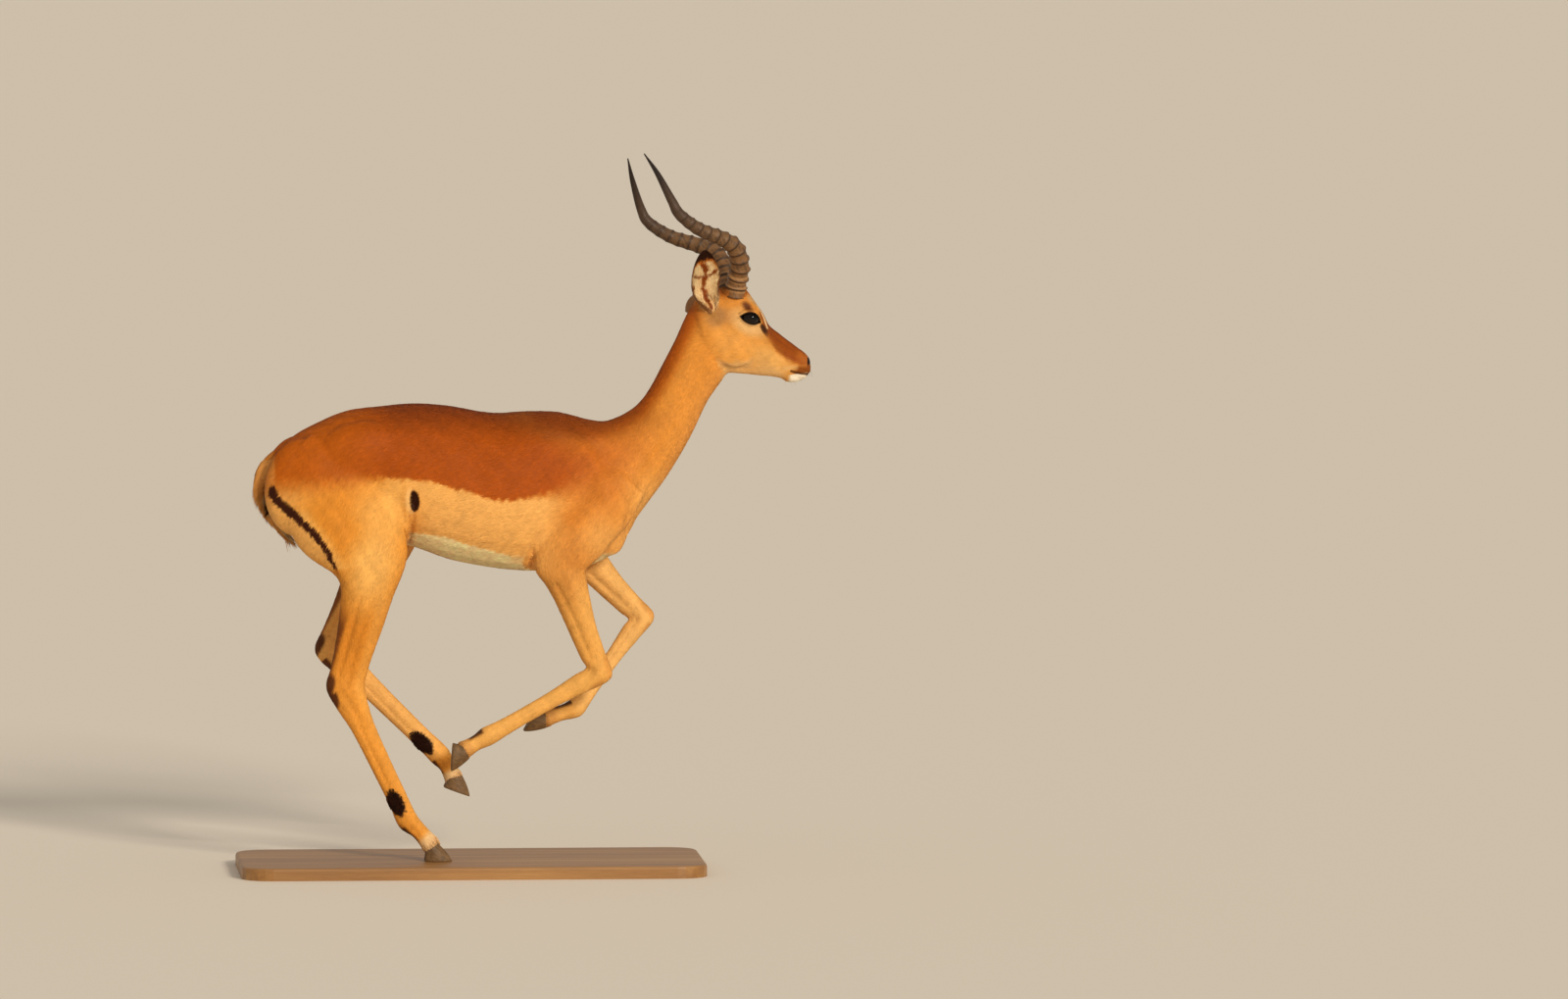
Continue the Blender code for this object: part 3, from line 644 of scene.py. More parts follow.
# On the head: path (u, v), width, height, taper.
HEAD_STROKES = (
    (((52, -6), (58, 2), (68, 7), (80, 5), (91, -3), (99, -15)), 2.6, 1.9, 0.3),       # upper lid
    (((50, 1), (60, 11), (72, 15), (86, 11), (98, -2)), 3.4, -2.2, 0.5),               # fold over it
    (((53, -8), (62, -18), (73, -22), (86, -20), (98, -18)), 2.4, 1.4, 0.3),           # lower lid
    (((54, -15), (68, -27), (84, -28), (98, -24)), 3.6, -1.6, 0.5),                    # bag under it
    (((97, -20), (103, -30), (107, -41)), 3.0, -2.6, 0.4),                             # scent gland before the eye
    (((92, -38), (116, -54), (142, -72)), 6, 1.8, 0.6),                                # crest of the cheek
    (((98, -52), (122, -68), (148, -86)), 8, -2.4, 0.6),                               # hollow under it
    (((28, -58), (34, -84), (52, -102), (78, -106)), 8, -2.0, 0.6),                    # edge of the chewing muscle
    (((104, -14), (124, -38), (150, -58), (176, -76)), 5, -1.6, 0.6),                  # side of the nose bridge
    (((206, -117), (194, -117), (180, -116), (168, -114), (158, -111)), 1.7, -3.4, 0.3),   # mouth
    (((200, -110), (186, -105), (170, -102)), 4, 1.2, 0.5),                            # upper lip
    (((198, -121), (184, -121), (168, -117)), 4, 1.1, 0.5),                            # lower lip
    (((193, -82), (198, -88), (199, -96), (194, -101)), 2.8, -4.6, 0.3),               # nostril
    (((188, -80), (190, -90), (190, -100)), 3.2, 1.6, 0.5),                            # its wing
    (((20, 26), (34, 30), (50, 18)), 8, -2.0, 0.5),                                    # temple
    (((-4, -8), (10, -20), (24, -26)), 9, -1.6, 0.5),                                  # under the ear
)


def sculpt(obj):
    """Lay every stroke on the skin."""
    mesh = obj.data
    points = positions(mesh)
    normals = normals_of(mesh)
    local = to_head(points)
    limbs, _, _ = limb_of(points)
    height = np.zeros(len(points))
    side_view = points[:, [0, 2]]
    sideways = ramp(np.abs(normals[:, 1]), 0.12, 0.5)
    off_head = local[:, 0] < -20
    body = np.isin(limbs, [LIMBS.index(name) for name in ("neck", "trunk", *JOINTS)]) & off_head
    for path, width, depth, taper in BODY_STROKES:
        height += body * sideways * stroke_height(side_view, path, width, depth, taper)
    x, z, half_long, half_tall = FLANK_POCKET
    away = np.hypot((points[:, 0] - x) / half_long, (points[:, 2] - z) / half_tall)
    height -= 6.0 * body * sideways * (1 - ramp(away, 0.4, 1.1))
    for foot, joints in JOINTS.items():
        mine = (limbs == LIMBS.index(foot)) * ramp(np.abs(normals[:, 1]), 0.05, 0.4)
        for path, width, depth, taper in LEG_STROKES[foot[:4]]:
            drawn = []
            for place, across in path:
                point, front, _ = bone_frame(joints, place)
                spot = point + front * across
                drawn.append((spot.x, spot.z))
            height += mine * stroke_height(side_view, drawn, width, depth, taper)
    head_normal = normals @ np.array(head_matrix().to_3x3())
    on_head = (local[:, 0] > -30) * ramp(np.abs(head_normal[:, 1]), 0.05, 0.35)
    muzzle_end = (local[:, 0] > 150) & (np.abs(local[:, 1]) > 4)
    on_head = np.maximum(on_head, muzzle_end)
    for path, width, depth, taper in HEAD_STROKES:
        height += on_head * stroke_height(local[:, [0, 2]], path, width, depth, taper)
    move_to(mesh, points + normals * height[:, None])


COAT_DEPTH = 2.2
SHRUNK_BY_MELTING = 1.6


def inset(obj):
    """Bring the surface from the tips of the coat down to the skin."""
    points = positions(obj.data)
    normals = normals_of(obj.data)
    face = ramp(to_head(points)[:, 0], -20, 60)
    low = ramp(points[:, 2], 480, 300)
    thin = np.maximum(face, low)
    depth = COAT_DEPTH * (1 - 0.6 * thin) - SHRUNK_BY_MELTING * (1 - 0.5 * face)
    move_to(obj.data, points - normals * depth[:, None])


inset(skin)
points = positions(skin.data)
shoulder = ramp(points[:, 0], 150, 210) * ramp(380 - points[:, 0], 0, 40) * ramp(points[:, 2], 600, 660)
relax(skin.data, 0.6 * shoulder, 14)
withers = ramp(points[:, 0], 150, 200) * ramp(340 - points[:, 0], 0, 50) * ramp(points[:, 2], 780, 830)
relax(skin.data, 0.85 * withers * ramp(np.abs(points[:, 1]), 6, 24), 26)
sculpt(skin)
print("sculpted with", len(BODY_STROKES) + len(HEAD_STROKES), "strokes and those of the legs")

# %% [markdown]
# ## Eye openings
#
# The lids of an antelope make an almond with a long tear corner in front. The skin inside the almond
# is set back under the eyeball, and a rim round it is laid a lid's thickness over the ball, so the
# eye sits in its lids instead of on the skin.

# %% Opening the lids
EYE_PLACE = (74.5, 38, -8.5)
EYE_RADIUS = 18
LID_CENTRE = (73.5, -10.5)
LID_SLOPE = math.radians(-15.6)
LID_HALF = (20.5, 11.0, 8.6)      # half length, height of the upper lid, depth of the lower one
LID_RADIUS = 19.4
SOCKET_RADIUS = 15.6


def lid_measure(local):
    """0 in the middle of the eye opening and 1 at its edge, an almond in the head frame."""
    u = local[:, 0] - LID_CENTRE[0]
    v = local[:, 2] - LID_CENTRE[1]
    along = (u * math.cos(LID_SLOPE) + v * math.sin(LID_SLOPE)) / LID_HALF[0]
    up = v * math.cos(LID_SLOPE) - u * math.sin(LID_SLOPE)
    return along ** 2 + np.where(up > 0, up / LID_HALF[1], -up / LID_HALF[2])


def open_lids(obj):
    """Set the skin back inside the almond and lay a rim round it over the eyeball."""
    local = to_head(positions(obj.data))
    gap = np.hypot(local[:, 0] - EYE_PLACE[0], local[:, 2] - EYE_PLACE[2])
    now = np.abs(local[:, 1])
    near = (now > 24) & (gap < 34)
    measure = lid_measure(local)
    lid = EYE_PLACE[1] + np.sqrt(np.maximum(LID_RADIUS ** 2 - gap ** 2, 0))
    socket = EYE_PLACE[1] + np.sqrt(np.maximum(SOCKET_RADIUS ** 2 - gap ** 2, 0))
    rim = np.where(gap < LID_RADIUS, np.maximum(now, lid), now)
    outside = now + (rim - now) * (1 - ramp(measure, 1.0, 1.7))
    inside = np.where(gap < 17, socket, np.maximum(socket, now - 4.5))
    depth = np.where(measure < 1, inside, outside)
    local[near, 1] = (np.sign(local[:, 1]) * depth)[near]
    matrix = head_matrix()
    move_to(obj.data, local @ np.array(matrix.to_3x3()).T + np.array(matrix.translation))
    return int((near & (measure < 1)).sum())


print("vertices set back under the eyeballs", open_lids(skin))

# %% [markdown]
# ## Ears
#
# An antelope's ear is a leaf of gristle rolled into a tube at its root and opening towards its tip.
# A flat grid bent by a modifier would make it, but a loft whose rings go up the outside and down the
# inside gives the wall, the roll and the widths in one pass. The loft is added to the skin's own
# mesh, with its root inside the head, so ears and head are one piece.

# %% Two rolled leaves
EAR_RIGHT = ((-3, -36, 12), (-26, -89, 121), (0.25, -0.95, 0.0), 1)
EAR_LEFT = ((1, 36, 12), (30, 156, 44), (0.40, 0.0, -0.90), -1)
EAR_SHARE = (0.0, 0.10, 0.25, 0.43, 0.59, 0.75, 0.885, 0.96, 1.0)
EAR_REAR = (10, 19, 29, 34, 33, 27, 19, 11, 3)
EAR_FRONT = (10, 16, 23, 31, 31, 25, 16.5, 9, 3)
EAR_CURL_AT = (0.0, 0.3, 0.6, 1.0)
EAR_CURL = (160, 84, 56, 42)
EAR_STEPS = 20
EAR_RINGS = 34
EAR_HALF_WALL = 1.4


def ear_rings(root, tip, opening, forward):
    """Rings of one ear in metres, and for each of their points its share, turn and side."""
    root = Vector(root)
    along = (Vector(tip) - root).normalized()
    length = (Vector(tip) - root).length
    opening = Vector(opening)
    opening = (opening - along * opening.dot(along)).normalized()
    across = along.cross(opening).normalized() * forward
    rings = []
    marks = []
    for place in np.linspace(-0.05, 1.0, EAR_RINGS):
        share = max(float(place), 0.0)
        rear = float(np.interp(share, EAR_SHARE, EAR_REAR))
        front = float(np.interp(share, EAR_SHARE, EAR_FRONT))
        curl = math.radians(float(np.interp(share, EAR_CURL_AT, EAR_CURL)))
        radius = (front + rear) / 2 / math.sin(min(curl, math.pi / 2))
        centre = root + along * length * float(place) + across * (front - rear) / 2
        centre += opening * (radius * max(math.cos(curl), 0.0) - 3 * math.sin(math.pi * share))
        wall = EAR_HALF_WALL * (1 - 0.55 * share)
        ring = []
        for inner in (0, 1):
            for k in range(EAR_STEPS + 1):
                turn = 2 * k / EAR_STEPS - 1 if inner == 0 else 1 - 2 * k / EAR_STEPS
                reach = max(radius + (wall if inner == 0 else -wall), 0.5)
                way = across * math.sin(curl * turn) - opening * math.cos(curl * turn)
                ring.append(in_head(centre + way * reach) * MM)
                marks.append((share, turn, inner))
        rings.append(ring)
    return rings, marks


def add_ears(obj):
    """Loft both ears into the skin's mesh; returns share, turn and side for each new vertex."""
    bm = bmesh.new()
    bm.from_mesh(obj.data)
    first = len(bm.verts)
    old_faces = set(bm.faces)
    spots = []
    marks = []
    for ear in (EAR_RIGHT, EAR_LEFT):
        rings, ear_marks = ear_rings(*ear)
        loft(bm, rings)
        spots += [point for ring in rings for point in ring]
        marks += ear_marks
    fresh = [face for face in bm.faces if face not in old_faces]
    bmesh.ops.recalc_face_normals(bm, faces=fresh)
    for face in fresh:
        face.smooth = True
    bm.to_mesh(obj.data)
    bm.free()
    obj.data.update()
    spots = np.array(spots)
    fresh_points = positions(obj.data)[first:] * MM
    nearest = [int(((spots - point) ** 2).sum(1).argmin()) for point in fresh_points]
    return first, np.array(marks)[nearest]


ear_first, ear_marks = add_ears(skin)
print("ear vertices", len(ear_marks), "from", ear_first)

# %% [markdown]
# ## The markings
#
# An impala wears three shades in bands: a rust saddle, tan flanks and a white belly. A black stripe
# runs down each buttock, black tufts cover the scent glands of the hind feet, and the ears have black
# tips. The markings are shapes over the body: edges as lines, patches as soft ovals, strokes of a
# given width. One function paints them on any set of points, so skin and hair get the same colours.
# A few of the shapes are painted shade instead of colour: the pocket in the fold of the flank, the crease before the
# thigh and the nostrils.

# %% Painting with soft shapes


def grain(points, size, seed):
    """Smooth random field between about -1 and 1, with features of the given size."""
    maker = np.random.default_rng(seed)
    waves = maker.normal(size=(7, 3)) * (math.tau / size / 1.6)
    phases = maker.uniform(0, math.tau, 7)
    return np.sin(points @ waves.T + phases).sum(1) / 2.6


def paint(colours, weight, shade):
    """Cover the colours with a shade by weight."""
    colours += np.clip(weight, 0, 1)[:, None] * (np.array(shade, float) - colours)


def soft_oval(flat, centre, radii, pitch, edge):
    """1 inside a turned oval and 0 outside, with a soft edge as a share of its size."""
    angle = math.radians(pitch)
    dx, dz = (flat - np.array(centre)).T
    along = (dx * math.cos(angle) + dz * math.sin(angle)) / radii[0]
    up = (dz * math.cos(angle) - dx * math.sin(angle)) / radii[1]
    return 1 - ramp(np.hypot(along, up), 1 - edge, 1 + edge)


def soft_line(flat, path, half_width, edge):
    """1 on a line and 0 beyond its half width."""
    gap, _ = distance_to(flat, path)
    return 1 - ramp(gap, half_width - edge, half_width + edge)


def leg_measure(points, foot):
    """Place along the bones of one leg and the distance in front of them."""
    joints = np.array(JOINTS[foot], float)
    spread = joints[1:] - joints[:-1]
    reach = points[:, None] - joints[None, :-1]
    share = np.clip((reach * spread).sum(2) / (spread ** 2).sum(1), 0, 1)
    off = reach - share[..., None] * spread
    best = np.linalg.norm(off, axis=2).argmin(1)
    rows = np.arange(len(points))
    along = spread / np.linalg.norm(spread, axis=1, keepdims=True)
    front = np.stack([-along[:, 2], 0 * along[:, 0], along[:, 0]], 1)
    front /= np.linalg.norm(front, axis=1, keepdims=True)
    across = (off[rows, best] * front[best]).sum(1)
    return best + share[rows, best], across


# %% Shades of the coat, as red, green and blue from 0 to 255
RUST = (166, 75, 4)
RUST_TOP = (128, 56, 9)
RUMP = (180, 89, 13)
FLANK = (240, 174, 92)
SHOULDER = (221, 142, 61)
NECK_ORANGE = (222, 143, 56)
NAPE = (170, 80, 13)
THROAT = (224, 150, 72)
THIGH = (219, 138, 45)
THIGH_LIGHT = (243, 184, 100)
CREAM = (240, 205, 150)
WHITE = (252, 236, 200)
BELLY_CREAM = (255, 226, 166)
INNER_LEG = (238, 184, 110)
GASKIN = (202, 119, 28)
CANNON = (228, 151, 58)
FOREARM = (230, 164, 80)
BLACK_BROWN = (40, 18, 7)
STRIPE = (58, 22, 5)
# Painted shadow for the pocket in the fold of the flank, not a colour of the coat.
POCKET_SHADOW = (52, 22, 8)
CHEEK = (215, 141, 59)
FOREHEAD = (140, 68, 20)
BROW = (163, 78, 13)
NOSE = (146, 70, 12)
LIP = (138, 72, 18)
EYE_RING = (216, 164, 100)
EAR_GREY = (170, 120, 66)

# Side view: the edge between rust and tan, and half the width of its blur.
SADDLE_EDGE = (
    (-420, 742, 34), (-300, 752, 30), (-220, 765, 22), (-157, 770, 6), (-119, 767, 4), (-81, 763, 4),
    (-43, 752, 4), (-5, 742, 4), (33, 729, 4), (62, 725, 4), (90, 727, 5), (128, 733, 9),
    (166, 738, 22), (190, 746, 34), (226, 764, 48), (262, 792, 58), (300, 824, 60), (340, 860, 60),
)
BELLY_EDGE = (
    (-240, 640), (-123, 662), (-81, 660), (-43, 651), (-5, 639), (33, 628), (71, 618), (86, 601),
    (109, 590), (150, 584), (240, 588),
)
STRIPE_LINE = (
    (-386, 742), (-374, 725), (-353, 706), (-330, 686), (-309, 664), (-291, 643), (-277, 620), (-267, 600), (-261, 588),
)
NAPE_LINE = [(140, 888)] + [(row[0], row[1]) for row in NECK]
THROAT_LINE = [(row[2], row[3]) for row in NECK]


def paint_body(colours, points, normals, limbs):
    """Saddle, flanks, neck, belly, rump and the stripes of the buttocks."""
    x, y, z = points.T
    side_view = points[:, [0, 2]]
    ragged = grain(points, 7, 1)
    colours[:] = FLANK
    paint(colours, 0.5 * soft_oval(side_view, (40, 690), (150, 50), 8, 0.6), (238, 175, 97))
    paint(colours, soft_oval(side_view, (236, 700), (70, 120), -14, 0.5), SHOULDER)
    paint(colours, 0.6 * soft_oval(side_view, (252, 640), (44, 40), 30, 0.7), (240, 178, 98))
    paint(colours, 0.6 * soft_line(side_view, ((196, 690), (226, 722), (268, 742)), 14, 18), (205, 120, 38))
    paint(colours, soft_oval(side_view, (-235, 668), (118, 110), 20, 0.4), THIGH)
    paint(colours, 0.75 * soft_line(side_view, ((-330, 690), (-290, 640), (-252, 575)), 16, 14), THIGH_LIGHT)
    paint(colours, 0.45 * soft_line(side_view, ((-150, 740), (-140, 670), (-150, 610)), 20, 16), THIGH_LIGHT)
    paint(colours, 0.6 * soft_oval(side_view, (-178, 700), (44, 46), 20, 0.8), THIGH_LIGHT)
    paint(colours, 0.7 * soft_oval(side_view, (-196, 590), (36, 62), -14, 0.8), THIGH_LIGHT)
    edges = np.array(SADDLE_EDGE, float)
    edge = np.interp(x, edges[:, 0], edges[:, 1])
    blur = np.interp(x, edges[:, 0], edges[:, 2])
    above = ramp(z - edge + 2.5 * ragged, -blur, blur) * ramp(normals[:, 2], -0.9, -0.5)
    rust = np.tile(np.array(RUST, float), (len(points), 1))
    paint(rust, ramp(z, 835, 905) * ramp(x, -260, -120), RUST_TOP)
    paint(rust, 0.8 * soft_oval(side_view, (215, 868), (90, 30), -10, 0.8), RUST_TOP)
    paint(rust, ramp(x, -130, -300), RUMP)
    paint(rust, 0.5 * ramp(edge + 60 - z, 0, 60) * ramp(x, -180, -60), (181, 84, 16))
    colours += above[:, None] * (rust - colours)
    up_neck = (x - 296) * 0.515 + (z - 776) * 0.857
    neck_tone = np.tile(np.array(NECK_ORANGE, float), (len(points), 1))
    nape_gap, _ = distance_to(side_view, NAPE_LINE)
    throat_gap, _ = distance_to(side_view, THROAT_LINE)
    paint(neck_tone, 0.9 * ramp(46 - throat_gap, 0, 46), THROAT)
    paint(neck_tone, 0.95 * ramp(38 - nape_gap, 0, 30), NAPE)
    on_neck = ramp(up_neck, -50, 70)
    colours += on_neck[:, None] * (neck_tone - colours)
    belly = np.interp(x, *np.array(BELLY_EDGE, float).T)
    below = ramp(belly - z + 1.5 * ragged, -2, 4) * ramp(x, 125, 105)
    under = ramp(-normals[:, 2], 0.55, 0.85) * (z < 700) * ramp(x, 300, 250)
    trunk = limbs == LIMBS.index("trunk")
    paint(colours, trunk * np.maximum(below, under), BELLY_CREAM)
    groin = (x < -110) * ramp(52 - np.abs(y), 0, 12) * ramp(690 - z, 0, 20)
    paint(colours, groin * ~np.isin(limbs, [LIMBS.index("tail")]), CREAM)
    paint(colours, trunk * 0.8 * soft_line(side_view, ((-110, 628), (0, 590), (110, 580)), 3, 2), (176, 122, 66))
    # A darker line along the crease before the thigh is painted shade, where the thigh overlaps the belly.
    crease = soft_line(side_view, ((-121, 704), (-120, 672), (-119, 640)), 2, 2)
    paint(colours, 0.6 * crease * (np.abs(normals[:, 1]) > 0.3), (186, 112, 44))
    paint(colours, 0.6 * soft_oval(side_view, (262, 812), (74, 62), 40, 0.9), (190, 100, 28))
    paint(colours, 0.6 * soft_oval(side_view, (200, 882), (120, 36), 0, 0.8), (112, 50, 8))
    paint_rump(colours, points, ragged)
    # The pocket in the fold of the flank is painted shadow: a near-black almond, with a paler rim round it.
    pocket = soft_oval(side_view, FLANK_POCKET[:2], FLANK_POCKET[2:], 4, 0.12) * (np.abs(normals[:, 1]) > 0.3)
    rim = soft_oval(side_view, (FLANK_POCKET[0] - 6, FLANK_POCKET[1]), (12, 26), 4, 0.3)
    paint(colours, 0.6 * rim * (np.abs(normals[:, 1]) > 0.3), (246, 196, 128))
    paint(colours, pocket, POCKET_SHADOW)


def seen_from_side(path, steps, side):
    """A line drawn in the side view, made finer and laid on one flank: side is 1 for left, -1 for right."""
    found = []
    for x, z in curve_through(path, steps):
        start = Vector((x, 400 * side, z)) * MM
        spot, _, _, _ = skin_tree.ray_cast(start, Vector((0, -side, 0)))
        if spot is None:
            spot, _, _, _ = skin_tree.find_nearest(Vector((x, 44 * side, z)) * MM)
        found.append(np.array(spot) / MM)
    return np.array(found)


def paint_rump(colours, points, ragged):
    """White between the two stripes behind, and the stripes."""
    x, y, z = points.T
    line = stripe_lines[0]
    behind = ramp(np.interp(z, line[::-1, 2], line[::-1, 0]) - x, -4, 8)
    paint(colours, behind * ramp(z, 590, 620) * ramp(785 - z, 0, 30), (232, 168, 88))
    paint(colours, behind * ramp(40 - np.abs(y), 0, 14) * ramp(z, 600, 640) * ramp(770 - z, 0, 30), WHITE)
    paint(colours, ramp(-x, 376, 384) * ramp(z, 700, 760), (208, 128, 52))
    for line in stripe_lines:
        best = np.full(len(points), 1e9)
        where = np.zeros(len(points))
        for index, (a, b) in enumerate(zip(line, line[1:])):
            spread = b - a
            share = np.clip(((points - a) @ spread) / (spread @ spread), 0, 1)
            gap = np.linalg.norm(points - a - share[:, None] * spread, axis=1)
            closer = gap < best
            best[closer] = gap[closer]
            where[closer] = (index + share[closer]) / (len(line) - 1)
        half = np.interp(where, (0, 0.5, 1), (11, 7.5, 3))
        paint(colours, (best < 90) * ramp(half + 1.6 * ragged - best, -1.0, 1.0), STRIPE)


def paint_legs(colours, points, normals, limbs):
    """Shades of the legs, the glands, hocks and bands over the hooves."""
    for foot in JOINTS:
        mine = limbs == LIMBS.index(foot)
        if not mine.any():
            continue
        place, across = leg_measure(points[mine], foot)
        spot = points[mine]
        facing = normals[mine]
        shade = colours[mine]
        ragged = grain(spot, 5, 3)
        hind = foot.startswith("hind")
        outward = 1 if foot.endswith("left") else -1
        start = 0.75 if hind else 0.85
        paint(shade, ramp(place, start, start + 0.45) * (0.8 if hind else 1), GASKIN if hind else FOREARM)
        if hind:
            paint(shade, 0.85 * soft_oval(spot[:, [0, 2]], (-196, 590), (44, 66), -14, 0.8), THIGH_LIGHT)
        else:
            paint(shade, 0.55 * soft_oval(spot[:, [0, 2]], (184, 588), (50, 60), 0, 0.8), (196, 122, 50))
        paint(shade, ramp(place, 1.7, 2.2), CANNON if hind else (234, 172, 88))
        paint(shade, 0.35 * ramp(across, 6, 22) * ramp(place, 1.0, 1.4), THIGH_LIGHT)
        inside = ramp(-facing[:, 1] * outward, 0.25, 0.75)
        paint(shade, 0.7 * inside * ramp(place, 0.4, 0.8) * ramp(3.2 - place, 0, 0.4), INNER_LEG)
        paint(shade, (0.8 if hind else 0.5) * ramp(place, 3.55, 3.8), (238, 204, 156) if hind else (196, 136, 74))
        if hind:
            flat = np.stack([(place - 2.855) * 288, across + 6], 1)
            gland = np.hypot(flat[:, 0] / 28, flat[:, 1] / 15) + 0.10 * ragged
            behind = across < 13
            paint(shade, behind * (1 - ramp(gland, 0.85, 1.02)), BLACK_BROWN)
            heel = (1 - ramp(np.hypot((place - 2.02) * 200 / 18, (across + 33) / 12), 0.7, 1.2))
            paint(shade, 0.85 * heel, (70, 32, 12))
            string = ramp(-across, 30, 38) * ramp(place, 1.35, 1.6) * ramp(2.0 - place, 0, 0.1)
            paint(shade, 0.7 * string, (96, 46, 16))
        else:
            knee = 1 - ramp(np.hypot((place - 2.0) * 170 / 22, (across - 22) / 9), 0.6, 1.3)
            paint(shade, 0.3 * knee, (190, 112, 44))
        rear = ramp(-across, 9, 15) * ramp(place, 2.98, 3.06) * ramp(3.75 - place, 0, 0.2)
        paint(shade, 0.85 * rear, (58, 28, 12))
        colours[mine] = shade


# On the head, both sides: centre (u, v), radii, pitch, edge, shade, strength.
HEAD_OVALS = (
    ((40, -64), (60, 48), 0, 0.6, (226, 156, 72), 0.9),
    ((118, -92), (42, 22), -30, 0.6, (226, 168, 92), 0.9),
    ((20, 8), (36, 26), 10, 0.6, (222, 144, 58), 0.8),
    ((1.7, -4), (30, 20), 10, 0.5, EAR_GREY, 0.85),
    ((74, -26), (32, 16), -24, 0.5, EYE_RING, 0.9),
    ((48, -4), (14, 16), 0, 0.6, (218, 160, 88), 0.8),
    ((55, 10), (20, 8), 20, 0.5, (214, 150, 76), 0.6),
)
NOSE_EDGE = ((96, -12), (104, -32), (114, -47), (128, -70), (147, -84), (163, -93), (176, -98), (210, -104))
WHITE_BROW = ((91, 18), (97, 10), (101.5, 2), (107, -16), (110, -27))


def paint_head(colours, points, normals, limbs):
    """Face, brows, eye corners, nose, lips and chin."""
    local = to_head(points)
    mine = (limbs == LIMBS.index("head")) | (local[:, 0] > 20)
    mine &= local[:, 2] > -150
    local = local[mine]
    u, y, v = local.T
    facing = normals[mine] @ np.array(head_matrix().to_3x3())
    flat = local[:, [0, 2]]
    ragged = grain(local, 5, 4)
    shade = np.tile(np.array(CHEEK, float), (len(local), 1))
    for centre, radii, pitch, edge, tone, strength in HEAD_OVALS:
        paint(shade, strength * soft_oval(flat, centre, radii, pitch, edge), tone)
    paint(shade, 0.7 * ramp(-facing[:, 2], 0.3, 0.8) * ramp(170 - u, 0, 40), (236, 190, 128))
    paint(shade, ramp(v - 38 + 2 * ragged, -14, 10) * ramp(u, -30, 0), (176, 92, 26))
    paint(shade, ramp(24 - np.abs(y), 0, 12) * ramp(facing[:, 2] + facing[:, 0], 0.5, 0.9) * ramp(u, 0, 30), FOREHEAD)
    edges = np.array(NOSE_EDGE, float)
    bridge = ramp(v - np.interp(u, edges[:, 0], edges[:, 1]) + 1.5 * ragged, -9, 7) * ramp(u, 92, 100)
    paint(shade, bridge, NOSE)
    paint(shade, 0.55 * bridge * ramp(facing[:, 2] + facing[:, 0] * 0.8, 0.7, 1.1), (124, 60, 14))
    paint(shade, 0.5 * bridge * soft_oval(flat, (186, -86), (18, 10), -35, 0.6), (190, 112, 44))
    paint(shade, 0.9 * soft_line(flat, WHITE_BROW, 2.6, 2.0) * (np.abs(y) > 18), (248, 214, 164))
    paint(shade, 0.45 * soft_oval(flat, (66, -15), (27, 17), -25, 0.7) * (np.abs(y) > 20), (238, 198, 140))
    paint(shade, 0.4 * soft_oval(flat, (30, -6), (17, 14), 0, 0.8), (176, 122, 68))
    paint(shade, 0.8 * soft_oval(flat, (84, 28), (15, 7), -35, 0.5) * (np.abs(y) > 20), (206, 160, 104))
    paint(shade, 0.85 * soft_oval(flat, (69, 14), (11, 7), -50, 0.7) * (np.abs(y) > 22), (78, 36, 12))
    paint(shade, 0.92 * soft_oval(flat, (102, -31), (13, 5.5), -58, 0.4) * (np.abs(y) > 18), (56, 26, 10))
    paint(shade, 0.6 * soft_line(flat, ((106, -40), (122, -58), (140, -74)), 4, 3.5), (150, 84, 28))
    paint(shade, ramp(u, 156, 176) * ramp(-v, 98, 106), LIP)
    paint(shade, 0.6 * soft_line(flat, ((146, -106), (158, -104), (168, -104)), 4, 4), (226, 180, 118))
    chin = ramp(u, 152, 160) * ramp(196 - u, 0, 6) * ramp(-v + 0.12 * (u - 150), 117, 120)
    paint(shade, chin, (247, 232, 206))
    paint(shade, 0.9 * soft_line(flat, ((206, -117), (194, -117), (180, -116), (168, -114), (158, -111)), 1.8, 1.4),
          (84, 44, 18))
    nose_pad = ramp(u, 197, 201) * ramp(v + 104, 0, 5) * ramp(-84 - v, 0, 4)
    paint(shade, 0.8 * nose_pad, (58, 32, 18))
    # The nostril opening is painted near black, as painted shade inside it.
    paint(shade, soft_oval(flat, (196.5, -91), (4.2, 8.0), -20, 0.25), (24, 12, 8))
    hollow = (np.abs(y) > 22) * soft_oval(flat, (-6, 26), (19, 20), 0, 0.25)
    paint(shade, hollow, (232, 190, 134))
    paint(shade, hollow * soft_line(flat, ((-3, 12), (-6, 38)), 3.5, 1.5), (120, 56, 14))
    lids = lid_measure(local)
    rim = (1 - ramp(lids, 1.12, 1.42)) * (np.abs(y) > 24)
    paint(shade, rim, (34, 17, 9))
    horn_root = 1 - ramp(np.linalg.norm(local - [49, 0, 40], axis=1) - np.abs(y) * 0.2, 22, 34)
    paint(shade, 0.4 * horn_root, (120, 62, 22))
    join = ramp(u + 0.25 * v, -42, 6)
    colours[mine] += join[:, None] * (shade - colours[mine])


def paint_tail(colours, points, limbs):
    """Orange above with a dark line, white below."""
    mine = limbs == LIMBS.index("tail")
    x, y, z = points[mine].T
    line = [(row[0], row[1]) for row in TAIL_CORE]
    shade = np.tile(np.array(WHITE, float), (int(mine.sum()), 1))
    spread = np.interp(-z, [-row[1] for row in TAIL_CORE], [row[0] for row in TAIL_CORE])
    paint(shade, ramp(spread - x, -12, -6), (214, 140, 62))
    paint(shade, ramp(spread - x, 0, 5) * ramp(4.5 - np.abs(y), -1, 2), (96, 44, 14))
    colours[mine] = shade


